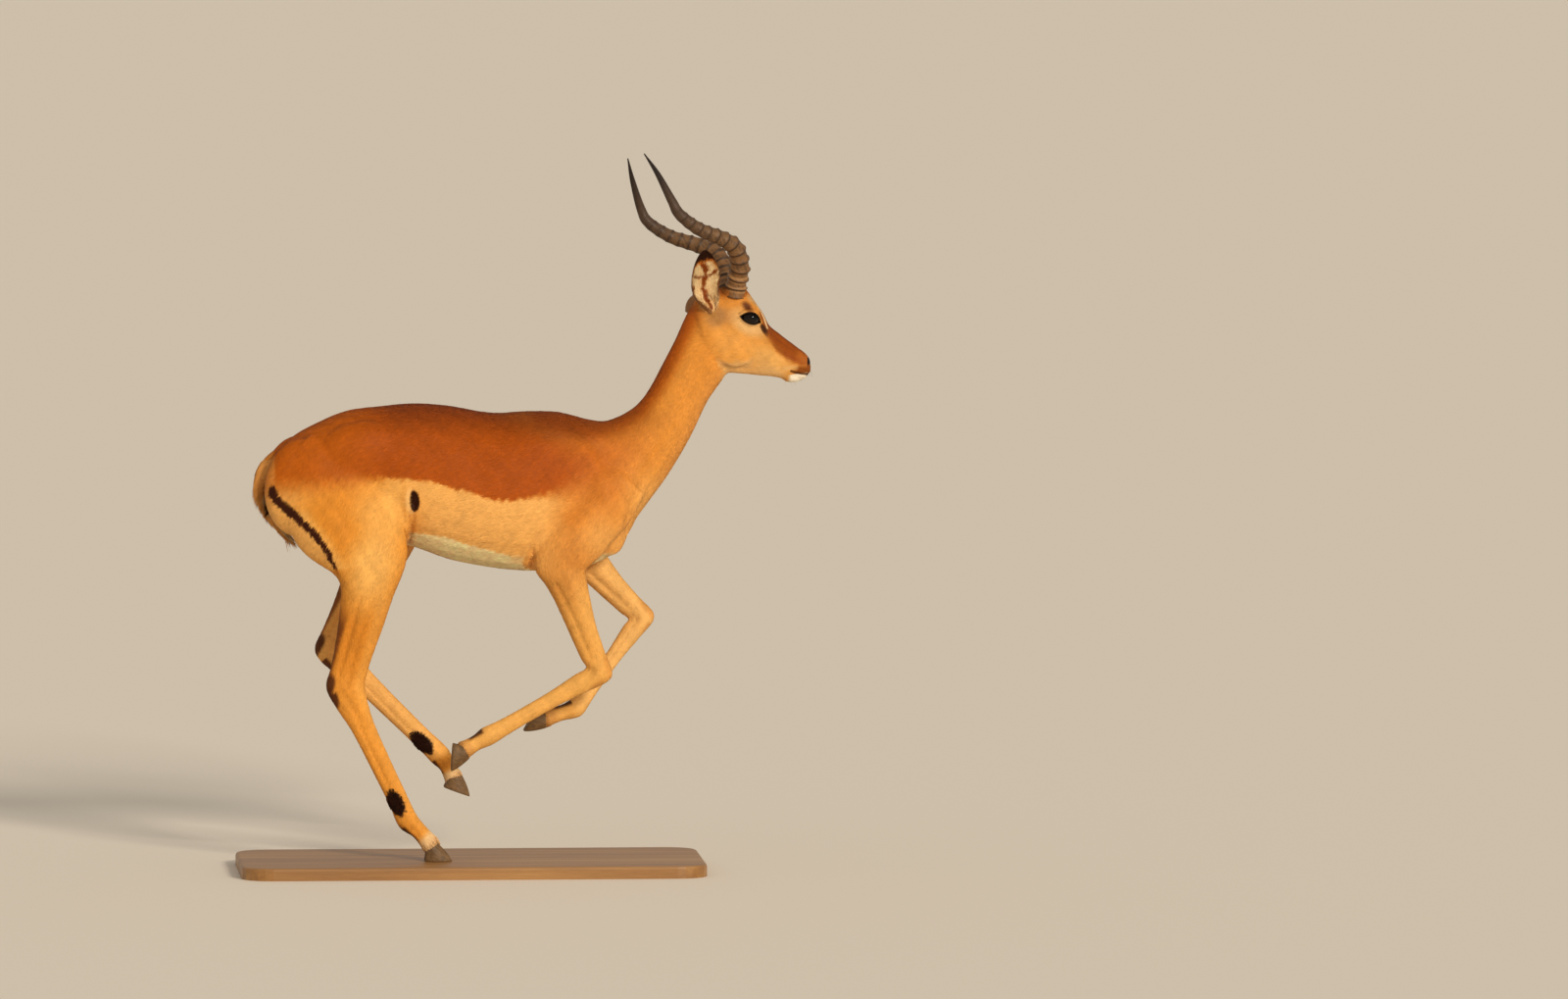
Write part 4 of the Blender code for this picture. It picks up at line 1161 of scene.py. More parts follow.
def coat_colour(points, normals):
    """Colour of the coat at points in millimetres, from 0 to 255."""
    limbs, _, _ = limb_of(points)
    colours = np.zeros((len(points), 3))
    paint_body(colours, points, normals, limbs)
    paint_legs(colours, points, normals, limbs)
    paint_tail(colours, points, limbs)
    paint_head(colours, points, normals, limbs)
    colours *= 1 + 0.022 * grain(points, 26, 5)[:, None] + 0.015 * grain(points, 9, 6)[:, None]
    return np.clip(colours, 4, 253)


def linear(colours):
    """Shades from 0 to 255 as the linear colours a shader wants."""
    share = np.asarray(colours, float) / 255
    return np.where(share <= 0.04045, share / 12.92, ((share + 0.055) / 1.055) ** 2.4)


# %% The ear's own pattern
EAR_DARK = (44, 18, 6)
EAR_BROWN = (134, 62, 14)
EAR_CREAM = (242, 210, 158)
EAR_BACK = (156, 108, 66)
EAR_SLIMNESS = 0.2            # half the ear's width as a share of its length
# Brown ribs: line (share of the length, across), half width.
EAR_RIBS = (
    (((0.02, 0.02), (0.12, 0.03), (0.22, 0.04), (0.35, 0.04), (0.455, 0.062)), 0.022),
    (((0.455, 0.062), (0.57, 0.062)), 0.015),
    (((0.56, 0.062), (0.64, 0.055), (0.68, 0.035), (0.72, 0.0)), 0.034),
    (((0.45, 0.05), (0.48, -0.036), (0.545, -0.094)), 0.018),
    (((0.455, 0.07), (0.48, 0.12), (0.54, 0.155)), 0.018),
)
EAR_SPOTS = (((0.34, -0.10), (0.040, 0.028)), ((0.545, 0.155), (0.035, 0.022)), ((0.41, 0.05), (0.05, 0.03)))


def ear_colour(marks):
    """Cream hair with brown ribs inside, tan outside, brown rims and a black tip."""
    share, turn, inner = marks.T
    flat = np.stack([share, turn * EAR_SLIMNESS], 1)
    ragged = grain(np.stack([share * 60, turn * 20, inner], 1), 3, 7)
    shade = np.tile(np.array(EAR_BACK, float), (len(marks), 1))
    paint(shade, inner, EAR_CREAM)
    paint(shade, 0.5 * inner * ramp(ragged, -0.2, 0.8), (206, 156, 96))
    edge = ramp(np.abs(turn), 0.62, 0.92) * ramp(share, 0.56, 0.70)
    paint(shade, inner * edge, (196, 116, 44))
    for path, half in EAR_RIBS:
        paint(shade, inner * soft_line(flat, path, half + 0.006 * ragged, 0.006), EAR_BROWN)
    for centre, radii in EAR_SPOTS:
        paint(shade, inner * soft_oval(flat, centre, radii, 0, 0.25), EAR_BROWN)
    paint(shade, inner * soft_line(flat, ((0.44, -0.185), (0.30, -0.165)), 0.018, 0.01), (70, 32, 12))
    rim = ramp(np.abs(turn) + 0.04 * ragged, 0.90, 0.98) * ramp(share, 0.1, 0.25)
    paint(shade, 0.85 * rim, (92, 46, 18))
    paint(shade, ramp(share + 0.015 * ragged, 0.70, 0.755), (196, 108, 36))
    paint(shade, ramp(share + 0.02 * ragged, 0.755, 0.80), EAR_DARK)
    paint(shade, 0.9 * ramp(share, 0.62, 0.80) * ramp(np.abs(turn), 0.84, 0.95), EAR_DARK)
    return shade


# %% Colours onto the skin


def write_colours(mesh, name, values):
    """Store an array of linear colours, one for each vertex."""
    layer = mesh.color_attributes.new(name, "FLOAT_COLOR", "POINT")
    full = np.ones((len(values), 4), np.float32)
    full[:, :values.shape[1]] = values
    layer.data.foreach_set("color", full.ravel())


def lie_shares(way):
    """Share of each of four fixed directions in the side view that a direction of hair has."""
    angle = np.arctan2(way[:, 2], way[:, 0])
    shares = np.stack([np.cos(angle - k * math.pi / 4) ** 8 for k in range(4)], 1)
    return shares / shares.sum(1, keepdims=True)


skin_points = positions(skin.data)
skin_normals = normals_of(skin.data)
whole = bmesh.new()
whole.from_mesh(skin.data)
skin_tree = BVHTree.FromBMesh(whole)
whole.free()
stripe_lines = [seen_from_side(STRIPE_LINE, 4, side) for side in (-1, 1)]
skin_shade = coat_colour(skin_points, skin_normals)
skin_shade[ear_first:] = ear_colour(ear_marks)
skin_way = lie_of_hair(skin_points, skin_normals)
write_colours(skin.data, "coat", linear(skin_shade))
write_colours(skin.data, "lie", lie_shares(skin_way))
print("mean shade of the skin", skin_shade.mean(0).round())

# %% [markdown]
# ## Writing materials as sums
#
# A material is a graph of nodes, and in code each node takes several lines. A small class wraps a
# socket and overloads + - * /, so that shader maths reads like arithmetic, and one method adds any
# other node from its type, its settings and the values of its sockets.

# %% Sockets that can be added and multiplied


class Link:
    """An output socket of a material."""

    def __init__(self, paint_box, socket):
        self.paint_box = paint_box
        self.socket = socket

    def maths(self, operation, first, second):
        return self.paint_box.node("ShaderNodeMath", {"operation": operation}, {0: first, 1: second})

    def __add__(self, other):
        return self.maths("ADD", self, other)

    def __radd__(self, other):
        return self.maths("ADD", other, self)

    def __sub__(self, other):
        return self.maths("SUBTRACT", self, other)

    def __rsub__(self, other):
        return self.maths("SUBTRACT", other, self)

    def __mul__(self, other):
        return self.maths("MULTIPLY", self, other)

    def __rmul__(self, other):
        return self.maths("MULTIPLY", other, self)

    def __truediv__(self, other):
        return self.maths("DIVIDE", self, other)

    def __rtruediv__(self, other):
        return self.maths("DIVIDE", other, self)


class PaintBox:
    """One material, its nodes and its Principled shader."""

    def __init__(self, name, **constants):
        self.material = bpy.data.materials.new(name)
        self.material.use_nodes = True
        self.tree = self.material.node_tree
        self.shader = self.tree.nodes["Principled BSDF"]
        for socket, value in constants.items():
            self.shader.inputs[socket.replace("_", " ")].default_value = value

    def plug(self, socket, value):
        """Link a socket to a Link, or give it a value."""
        if isinstance(value, Link):
            self.tree.links.new(value.socket, socket)
        else:
            socket.default_value = value

    def node(self, kind, settings=None, values=None, output=0):
        """Add a node: settings first, then its sockets by name or number."""
        made = self.tree.nodes.new(kind)
        settings = dict(settings or {})
        stops = settings.pop("stops", None)
        for name, value in settings.items():
            setattr(made, name, value)
        if stops:
            ramp_of = made.color_ramp
            while len(ramp_of.elements) < len(stops):
                ramp_of.elements.new(0.5)
            for element, (position, shade) in zip(ramp_of.elements, stops):
                element.position = position
                element.color = (*shade, 1.0)
        for name, value in (values or {}).items():
            self.plug(made.inputs[name], value)
        return Link(self, made.outputs[output])

    def set(self, **links):
        """Link or set sockets of the shader."""
        for name, value in links.items():
            self.plug(self.shader.inputs[name.replace("_", " ")], value)

    def place(self):
        """Object coordinates."""
        return self.node("ShaderNodeTexCoord", output="Object")

    def noise(self, vector, scale, detail=2.0, roughness=0.5):
        """Noise between 0 and 1."""
        values = {"Vector": vector, "Scale": scale, "Detail": detail, "Roughness": roughness}
        return self.node("ShaderNodeTexNoise", {}, values)

    def attribute(self, name, output="Color"):
        """Attribute of the mesh."""
        return self.node("ShaderNodeAttribute", {"attribute_name": name}, output=output)

    def stretched(self, vector, turn, sizes):
        """Coordinates turned about Y and measured in the given sizes in metres."""
        settings = {"vector_type": "TEXTURE"}
        values = {"Vector": vector, "Rotation": (0.0, turn, 0.0), "Scale": sizes}
        return self.node("ShaderNodeMapping", settings, values)

    def brighten(self, colour, factor):
        """Colour times a number."""
        return self.node("ShaderNodeVectorMath", {"operation": "SCALE"}, {"Vector": colour, "Scale": factor})

    def mix(self, factor, first, second):
        """Colour between two colours."""
        made = self.tree.nodes.new("ShaderNodeMix")
        made.data_type = "RGBA"
        self.plug(made.inputs[0], factor)
        self.plug(made.inputs[6], first)
        self.plug(made.inputs[7], second)
        return Link(self, made.outputs[2])

    def bump(self, height, strength, distance):
        """Normal from a height."""
        return self.node("ShaderNodeBump", {}, {"Strength": strength, "Distance": distance, "Height": height})


def shade(red, green, blue):
    """Linear colour with alpha from 0 to 255 shades."""
    return (*[float(value) for value in linear((red, green, blue))], 1.0)


print("sum of two links makes one Math node")

# %% [markdown]
# ## The coat's material
#
# The coat is short and sleek: single hairs are finer than a millimetre and lie flat, so what the eye
# sees is a fine streak along the lie of the hair and a soft sheen. The streak is a noise stretched
# along the hair. A noise can only be stretched along a fixed direction, so four of them, an eighth of
# a turn apart, are blended by how much of each direction the hair has there. Image textures would
# need a painted map, and this needs none.

# %% Short fur
STREAK = (0.016, 0.0022, 0.0016)


def short_fur():
    box = PaintBox("short_fur", Specular_IOR_Level=0.12)
    place = box.place()
    lie = box.attribute("lie")
    parts = box.tree.nodes.new("ShaderNodeSeparateColor")
    box.tree.links.new(lie.socket, parts.inputs[0])
    shares = [Link(box, parts.outputs[index]) for index in range(3)]
    shares.append(1 - shares[0] - shares[1] - shares[2])
    streak = 0
    for index, share in enumerate(shares):
        turned = box.stretched(place, -index * math.pi / 4, STREAK)
        streak = share * box.noise(turned, 1.0, 2.0) + streak
    patches = box.noise(place, 60.0, 3.0)
    colour = box.brighten(box.attribute("coat"), 0.84 + streak * 0.24 + patches * 0.08)
    normal = box.bump(streak, 0.4, 0.0003)
    box.set(Base_Color=colour, Roughness=0.50 + streak * 0.2, Normal=normal)
    return box.material


def tuft_fur():
    box = PaintBox("tuft_fur", Specular_IOR_Level=0.12)
    fine = box.noise(box.place(), 900.0, 1.0)
    colour = box.brighten(box.attribute("coat"), 0.92 + fine * 0.16)
    box.set(Base_Color=colour, Roughness=0.48 + fine * 0.18)
    return box.material


fur_material = short_fur()
tuft_material = tuft_fur()
skin.data.materials.append(fur_material)
print("streak is", STREAK[0] * 1000, "mm long")

# %% [markdown]
# ## A map of the skin
#
# Colours can be baked into an image through a UV map. Each limb is unrolled like a tin can: the
# angle round its line runs across, and the distance along it runs up. The skin's map holds all limbs
# side by side, and a tuft's map is a small patch at the place of its root.

# %% Unrolling limbs
PATCH = 0.0015


def unrolled(points, lines):
    """Angle round a line and share along its limb, both from 0 to 1."""
    start = line_start[lines]
    spread = line_end[lines] - start
    along = spread / np.linalg.norm(spread, axis=1, keepdims=True)
    reach = points - start
    share = np.clip((reach * along).sum(1) / np.linalg.norm(spread, axis=1), -0.6, 1.6)
    side = np.array([0.0, 1.0, 0.0])
    fore = np.cross(side, along)
    angle = np.arctan2(reach @ side, (reach * fore).sum(1)) / math.tau + 0.5
    same = line_limb[lines]
    first = np.array([np.flatnonzero(line_limb == limb)[0] for limb in range(len(LIMBS))])
    count = np.bincount(line_limb, minlength=len(LIMBS))
    up = (lines - first[same] + np.clip(share, 0, 1) + 0.3 * (share - np.clip(share, 0, 1))) / count[same]
    return angle, up


def map_skin(mesh):
    """OFBake map of the skin: one column for each limb."""
    loops = np.empty(len(mesh.loops), np.int32)
    mesh.loops.foreach_get("vertex_index", loops)
    totals = np.empty(len(mesh.polygons), np.int32)
    mesh.polygons.foreach_get("loop_total", totals)
    owner = np.repeat(np.arange(len(totals)), totals)
    points = positions(mesh)
    centre = np.zeros((len(totals), 3))
    for axis in range(3):
        centre[:, axis] = np.bincount(owner, points[loops, axis]) / totals
    limbs, lines, _ = limb_of(centre)
    middle, _ = unrolled(centre, lines)
    angle, up = unrolled(points[loops], lines[owner])
    angle = middle[owner] + (angle - middle[owner] + 0.5) % 1.0 - 0.5
    column = (limbs[owner] + 0.06 + 0.88 * np.clip(angle, -0.05, 1.05)) / len(LIMBS)
    layer = mesh.uv_layers.new(name="OFBake")
    flat = np.stack([column, 0.04 + 0.92 * np.clip(up, -0.04, 1.04)], 1)
    layer.data.foreach_set("uv", flat.astype(np.float32).ravel())


map_skin(skin.data)
print("limbs unrolled", len(LIMBS))

# %% [markdown]
# ## Tufts
#
# Where the coat breaks the form it is mesh. A tuft is a lock of hair stuck together: flat, pointed at
# both ends, a little ridge down its middle. Its root is under the skin and its tip lies over the
# roots of the next ones. There are far too many for operators, so they are stamped as arrays: one
# small set of faces repeated, with the corners of all tufts worked out at once. The hair system
# would grow them quicker, but hair curves aren't mesh and don't leave Blender with the model.

# %% Stamping many small solids
LEAN = 0.10
ROUNDING = 0.16
TUFT_FACES = ((0, 1, 4), (0, 4, 2), (1, 3, 4), (4, 3, 2), (0, 2, 1), (1, 2, 3))


def stamp(name, corners, shades, face_list, roots, lines, facing=None):
    """One mesh of many copies: corners, shades and facing are copies x corners x 3."""
    copies, count, _ = corners.shape
    loops = [corner for face in face_list for corner in face]
    totals = np.array([len(face) for face in face_list] * copies, np.int32)
    index = (np.array(loops)[None] + count * np.arange(copies)[:, None]).ravel()
    mesh = bpy.data.meshes.new(name)
    mesh.vertices.add(copies * count)
    mesh.vertices.foreach_set("co", (corners * MM).astype(np.float32).ravel())
    mesh.loops.add(len(index))
    mesh.loops.foreach_set("vertex_index", index.astype(np.int32))
    mesh.polygons.add(len(totals))
    mesh.polygons.foreach_set("loop_start", np.concatenate([[0], np.cumsum(totals)[:-1]]).astype(np.int32))
    mesh.update(calc_edges=True)
    mesh.shade_smooth()
    if facing is not None:
        mesh.normals_split_custom_set_from_vertices(facing.reshape(-1, 3))
    write_colours(mesh, "coat", linear(shades.reshape(-1, 3)))
    angle, up = unrolled(roots, lines)
    turn = math.tau * np.arange(count) / count
    patch = np.stack([np.cos(turn), np.sin(turn)], 1) * PATCH
    base = np.stack([0.02 + 0.96 * angle, 0.02 + 0.96 * np.clip(up, 0, 1)], 1)
    spots = base[:, None] + patch[None]
    layer = mesh.uv_layers.new(name="OFBake")
    layer.data.foreach_set("uv", spots.reshape(-1, 2)[index].astype(np.float32).ravel())
    obj = bpy.data.objects.new(name, mesh)
    bpy.context.scene.collection.objects.link(obj)
    return obj


def unit(vectors):
    """Vectors of length 1."""
    return vectors / (np.linalg.norm(vectors, axis=1, keepdims=True) + 1e-9)


def laid(points):
    """The nearest places on the skin, and its normals there."""
    spots = np.empty_like(points)
    facing = np.empty_like(points)
    for index, point in enumerate(points * MM):
        spot, normal, _, _ = skin_tree.find_nearest(point)
        spots[index] = spot
        facing[index] = normal
    return spots / MM, facing


def tufts(name, roots, normals, ways, lengths, widths, rises, shades):
    """Flat pointed locks that follow the skin under them."""
    length = lengths[:, None]
    width = widths[:, None]
    rise = rises[:, None]
    middle, up = laid(roots + ways * length * 0.42)
    end, up_end = laid(roots + ways * length)
    side = unit(np.cross(up, ways))
    low = roots - normals * 0.4
    left = middle - side * width / 2 + up * rise * 0.3
    right = middle + side * width / 2 + up * rise * 0.3
    tip = end + up_end * rise
    ridge = middle + up * (rise * 0.3 + width * 0.10)
    corners = np.stack([low, left, right, tip, ridge], 1)
    lean = rng.normal(0, LEAN, (len(roots), 3))
    facing = np.stack([
        unit(normals + lean), unit(up + lean - side * ROUNDING), unit(up + lean + side * ROUNDING),
        unit(up_end + lean), unit(up + lean)], 1)
    tones = np.stack([shades * 0.94, shades, shades, shades * 1.04, shades * 1.01], 1)
    _, lines, _ = limb_of(roots)
    return stamp(name, corners, np.clip(tones, 3, 254), TUFT_FACES, roots, lines, facing)


# %% Scattering roots over the skin
skin.data.calc_loop_triangles()
triangles = np.empty(len(skin.data.loop_triangles) * 3, np.int32)
skin.data.loop_triangles.foreach_get("vertices", triangles)
triangles = triangles.reshape(-1, 3)
corner_points = skin_points[triangles]
triangle_area = np.linalg.norm(
    np.cross(corner_points[:, 1] - corner_points[:, 0], corner_points[:, 2] - corner_points[:, 0]), axis=1) / 2
triangle_centre = corner_points.mean(1)
triangle_limb, triangle_line, _ = limb_of(triangle_centre)
triangle_on_ear = triangles.max(1) >= ear_first
print("skin area in square metres", round(triangle_area.sum() / 1e6, 3))


def scatter(weight, count):
    """Random roots on the skin: triangle, point, normal, and the corners' shares."""
    chance = triangle_area * weight
    picked = rng.choice(len(triangles), count, p=chance / chance.sum())
    shares = rng.dirichlet((1, 1, 1), count)
    roots = (skin_points[triangles[picked]] * shares[..., None]).sum(1)
    normals = unit((skin_normals[triangles[picked]] * shares[..., None]).sum(1))
    return picked, roots, normals, shares


def bare(points):
    """1 where no hair grows: eyes, nose pad, nostrils and horn roots."""
    local = to_head(points)
    u, y, v = local.T
    eye = (lid_measure(local) < 1.25) & (np.abs(y) > 24) & (np.abs(u - 74) < 30)
    nose = (u > 193) & (v > -104)
    horn = np.linalg.norm(local - np.array([50, 0, 50]) - np.sign(y)[:, None] * [0, 30, 0], axis=1) < 22
    return eye | nose | horn


def hair_size(points, limbs):
    """Length and width of a lock in millimetres: small on the face and feet."""
    local = to_head(points)
    muzzle = ramp(local[:, 0], 0, 170)
    length = np.full(len(points), 13.0)
    width = np.full(len(points), 1.8)
    head = limbs == LIMBS.index("head")
    length[head] = (9.0 - 5.0 * muzzle)[head]
    width[head] = (1.3 - 0.5 * muzzle)[head]
    for foot in JOINTS:
        mine = limbs == LIMBS.index(foot)
        place, _ = leg_measure(points[mine], foot)
        low = ramp(place, 0.8, 2.4)
        length[mine] = 12.5 - 6.5 * low
        width[mine] = 1.8 - 0.8 * low
    neck = limbs == LIMBS.index("neck")
    length[neck] = 12.0
    width[neck] = 1.7
    pocket = np.hypot(points[:, 0] - FLANK_POCKET[0], points[:, 2] - FLANK_POCKET[1])
    length *= 0.4 + 0.6 * ramp(pocket, 24, 50)
    return length, width


# Piece, limb, side (1 left, -1 right, 0 both), tufts.
COATS = (
    ("coat_head", "head", 0, 30000),
    ("coat_neck", "neck", 0, 20000),
    ("coat_trunk_right", "trunk", -1, 30000),
    ("coat_trunk_left", "trunk", 1, 30000),
    ("coat_hind_right", "hind_right", 0, 20000),
    ("coat_hind_left", "hind_left", 0, 20000),
    ("coat_fore_right", "fore_right", 0, 14000),
    ("coat_fore_left", "fore_left", 0, 14000),
)
coat_pieces = []
for name, limb, side, count in COATS:
    weight = (triangle_limb == LIMBS.index(limb)) & ~triangle_on_ear
    if side:
        weight = weight & (triangle_centre[:, 1] * side >= 0)
    size, _ = hair_size(triangle_centre, triangle_limb)
    _, roots, normals, _ = scatter(weight / size, count)
    keep = ~bare(roots)
    roots = roots[keep]
    normals = normals[keep]
    limbs, _, _ = limb_of(roots)
    ways = lie_of_hair(roots, normals)
    swing = rng.normal(0, 0.13, len(roots))[:, None]
    ways = unit(ways + np.cross(normals, ways) * swing)
    lengths, widths = hair_size(roots, limbs)
    lengths = lengths * rng.uniform(0.7, 1.25, len(roots))
    widths = widths * rng.uniform(0.7, 1.2, len(roots))
    rises = lengths * rng.uniform(0.02, 0.07, len(roots)) * (0.45 if limb == "head" else 0.9)
    shades = coat_colour(roots + ways * lengths[:, None] * 0.45, normals)
    shades = shades * rng.normal(1.0, 0.028, len(roots))[:, None]
    piece = tufts(name, roots, normals, ways, lengths, widths, rises, shades)
    piece.data.materials.append(tuft_material)
    coat_pieces.append(piece)
    print(name, len(roots), "tufts", len(piece.data.polygons), "faces")

# %% [markdown]
# ## Long hair
#
# The tail's brush, the tufts over the scent glands, the fringe in the ears, the lashes and the hairs
# of the chin are long enough to be seen one by one. Each is a thin three-sided spike in three
# lengths, which bends outwards and then down.

# %% Bending spikes
SPIKE_FACES = (
    (0, 2, 1),
    (0, 1, 4, 3), (1, 2, 5, 4), (2, 0, 3, 5),
    (3, 4, 7, 6), (4, 5, 8, 7), (5, 3, 6, 8),
    (6, 7, 9), (7, 8, 9), (8, 6, 9),
)


def spikes(name, roots, normals, ways, lengths, widths, lifts, drops, root_shades, tip_shades, facing=None):
    """Thin hairs: lift raises their middle off the skin and drop lowers their end."""
    side = unit(np.cross(normals, ways))
    stations = []
    tones = []
    for share, thick in ((0.0, 1.0), (0.35, 0.95), (0.72, 0.6)):
        bend = math.sin(math.pi * share * 0.9)
        here = roots + ways * (lengths * share)[:, None] + normals * (lifts * bend - 0.6 * (share == 0))[:, None]
        here = here - np.array([0, 0, 1.0]) * (drops * share ** 2)[:, None]
        for turn in (0.0, math.tau / 3, 2 * math.tau / 3):
            off = side * math.cos(turn) + normals * math.sin(turn)
            stations.append(here + off * (widths * thick / 2)[:, None])
            tones.append(root_shades + (tip_shades - root_shades) * share)
    tip = roots + ways * lengths[:, None] + normals * (lifts * 0.31)[:, None]
    stations.append(tip - np.array([0, 0, 1.0]) * drops[:, None])
    tones.append(tip_shades)
    corners = np.stack(stations, 1)
    colours = np.clip(np.stack(tones, 1), 3, 254)
    _, lines, _ = limb_of(roots)
    if facing is not None:
        facing = np.repeat(unit(facing)[:, None], corners.shape[1], 1)
    piece = stamp(name, corners, colours, SPIKE_FACES, roots, lines, facing)
    piece.data.materials.append(tuft_material)
    coat_pieces.append(piece)
    print(name, len(roots), "hairs")
    return piece


# %% The tail's brush
top_of_tail = (triangle_centre[:, 0] < -378) & (np.abs(triangle_centre[:, 1]) < 22)
tail_weight = (triangle_limb == LIMBS.index("tail")) | top_of_tail
tail_weight = tail_weight & (triangle_centre[:, 2] < 800)
_, roots, normals, _ = scatter(tail_weight, 4600)
ways = lie_of_hair(roots, normals)
down = ramp(roots[:, 2], 800, 670)
outer = ramp(-normals[:, 0] - 0.25 * normals[:, 2], -0.80, -0.50)
back = ramp(-normals[:, 0] - 0.25 * normals[:, 2], 0.6, 0.9)
end = ramp(672 - roots[:, 2], 0, 14)[:, None]
flow = unit(ways + normals * (0.04 + 0.05 * down)[:, None] + np.array([0.22, 0, -0.1]) * down[:, None]
            + np.array([0.9, 0, -0.5]) * end)
lengths = rng.uniform(20, 36, len(roots)) * (0.75 + 0.45 * down)
middle = np.exp(-(roots[:, 1] / 2.2) ** 2)
tone = np.array(WHITE) * np.ones((len(roots), 1))
paint(tone, outer, (238, 164, 84))
paint(tone, back * middle * (rng.random(len(roots)) < 0.8), (92, 44, 14))
paint(tone, (1 - outer) * (rng.random(len(roots)) < 0.10), (96, 50, 22))
tone *= rng.normal(1, 0.04, len(roots))[:, None]
spikes(
    "hair_tail", roots, normals, flow, lengths, rng.uniform(1.0, 2.0, len(roots)),
    rng.uniform(0.8, 2.6, len(roots)), rng.uniform(1, 6, len(roots)), tone * 0.95, tone * 1.02,
    normals + rng.normal(0, 0.12, (len(roots), 3)),
)

# %% Tufts over the scent glands of the hind feet
for foot in ("hind_right", "hind_left"):
    mine = triangle_limb == LIMBS.index(foot)
    place, across = leg_measure(triangle_centre, foot)
    gland = np.hypot((place - 2.835) * 288 / 26, (across + 6) / 13.5) < 1
    _, roots, normals, _ = scatter(mine & gland & (across < 12), 1500)
    ways = lie_of_hair(roots, normals)
    flow = unit(ways + normals * 0.22)
    place, across = leg_measure(roots, foot)
    rim = ramp(np.hypot((place - 2.835) * 288 / 26, (across + 6) / 13.5), 0.5, 1.0)
    tone = np.array(BLACK_BROWN) * rng.uniform(0.6, 1.5, len(roots))[:, None]
    spikes(
        "hair_gland_" + foot, roots, normals, flow, rng.uniform(5, 8, len(roots)) * (1 - 0.3 * rim),
        rng.uniform(0.5, 1.0, len(roots)), rng.uniform(0.5, 1.5, len(roots)), np.full(len(roots), 1.0), tone, tone * 1.2,
    )

# %% Fringe inside the ears
ear_weight = np.zeros(len(triangles))
marks_of = np.zeros((len(skin_points), 3))
marks_of[ear_first:] = ear_marks
triangle_mark = marks_of[triangles].mean(1)
inside_ear = triangle_on_ear & (triangle_mark[:, 2] > 0.9)
share, turn = triangle_mark[:, 0], triangle_mark[:, 1]
ear_weight = inside_ear * ((np.abs(turn) > 0.30) + 0.5) * (share < 0.86) * (share > 0.06)
picked, roots, normals, _ = scatter(ear_weight * (share < 0.16), 260)
matrix = np.array(head_matrix().to_3x3())
here = triangle_mark[picked]
on_right = roots[:, 1] < 0
axis_right = matrix @ np.array(Vector(EAR_RIGHT[1]) - Vector(EAR_RIGHT[0]))
axis_left = matrix @ np.array(Vector(EAR_LEFT[1]) - Vector(EAR_LEFT[0]))
axis = np.where(on_right[:, None], axis_right, axis_left)
ways = axis - (axis * normals).sum(1, keepdims=True) * normals
ways = unit(unit(ways) * 0.9 + normals * 0.34)
tone = ear_colour(here) * rng.normal(1.0, 0.06, len(roots))[:, None]
spikes(
    "hair_ears", roots, normals, ways, rng.uniform(6, 11, len(roots)), rng.uniform(0.5, 0.9, len(roots)),
    rng.uniform(0.3, 1.5, len(roots)), np.full(len(roots), 0.5), tone * 0.95, tone * 1.05,
)

# %% Short hair inside the ears, in their pattern
picked, roots, normals, corner_shares = scatter(inside_ear * (share < 0.98) * (share > 0.0), 9000)
axis = np.where((roots[:, 1] < 0)[:, None], axis_right, axis_left)
ways = unit(axis - (axis * normals).sum(1, keepdims=True) * normals)
fan = np.where(roots[:, 1] < 0, -1, 1) * marks_of[triangles[picked]].mean(1)[:, 1]
ways = unit(ways - np.cross(ways, normals) * (0.7 * fan)[:, None] + rng.normal(0, 0.08, (len(roots), 3)))
here = (marks_of[triangles[picked]] * corner_shares[..., None]).sum(1)
tone = ear_colour(here) * rng.normal(1.0, 0.07, len(roots))[:, None]
piece = tufts(
    "coat_ear_insides", roots, normals, ways, rng.uniform(5, 8, len(roots)), rng.uniform(0.6, 1.0, len(roots)),
    rng.uniform(0.2, 0.8, len(roots)), tone,
)
piece.data.materials.append(tuft_material)
coat_pieces.append(piece)

# %% Short hair on the backs of the ears and along their rims
back_of_ear = triangle_on_ear & (triangle_mark[:, 2] < 0.1)
picked, roots, normals, _ = scatter(back_of_ear, 5000)
axis = np.where((roots[:, 1] < 0)[:, None], axis_right, axis_left)
ways = unit(axis - (axis * normals).sum(1, keepdims=True) * normals)
tone = ear_colour(triangle_mark[picked]) * rng.normal(1.0, 0.06, len(roots))[:, None]
piece = tufts(
    "coat_ears", roots, normals, ways, rng.uniform(5, 9, len(roots)), rng.uniform(0.9, 1.5, len(roots)),
    rng.uniform(0.2, 0.9, len(roots)), tone,
)
piece.data.materials.append(tuft_material)
coat_pieces.append(piece)

# %% Hair over the coronets
for foot, joints in JOINTS.items():
    place, across = leg_measure(triangle_centre, foot)
    ring = (triangle_limb == LIMBS.index(foot)) & (place > 3.86)
    _, found, normals, _ = scatter(ring, 500)
    ways = unit(lie_of_hair(found, normals) + normals * 0.04)
    tone = np.array((226, 186, 134) if foot.startswith("hind") else (186, 134, 76)) * rng.uniform(0.95, 1.12, len(found))[:, None]
    spikes(
        "hair_coronet_" + foot, found, normals, ways, rng.uniform(6, 11, len(found)),
        rng.uniform(0.5, 0.9, len(found)), rng.uniform(0.2, 0.8, len(found)), np.full(len(found), 0.3), tone, tone,
    )

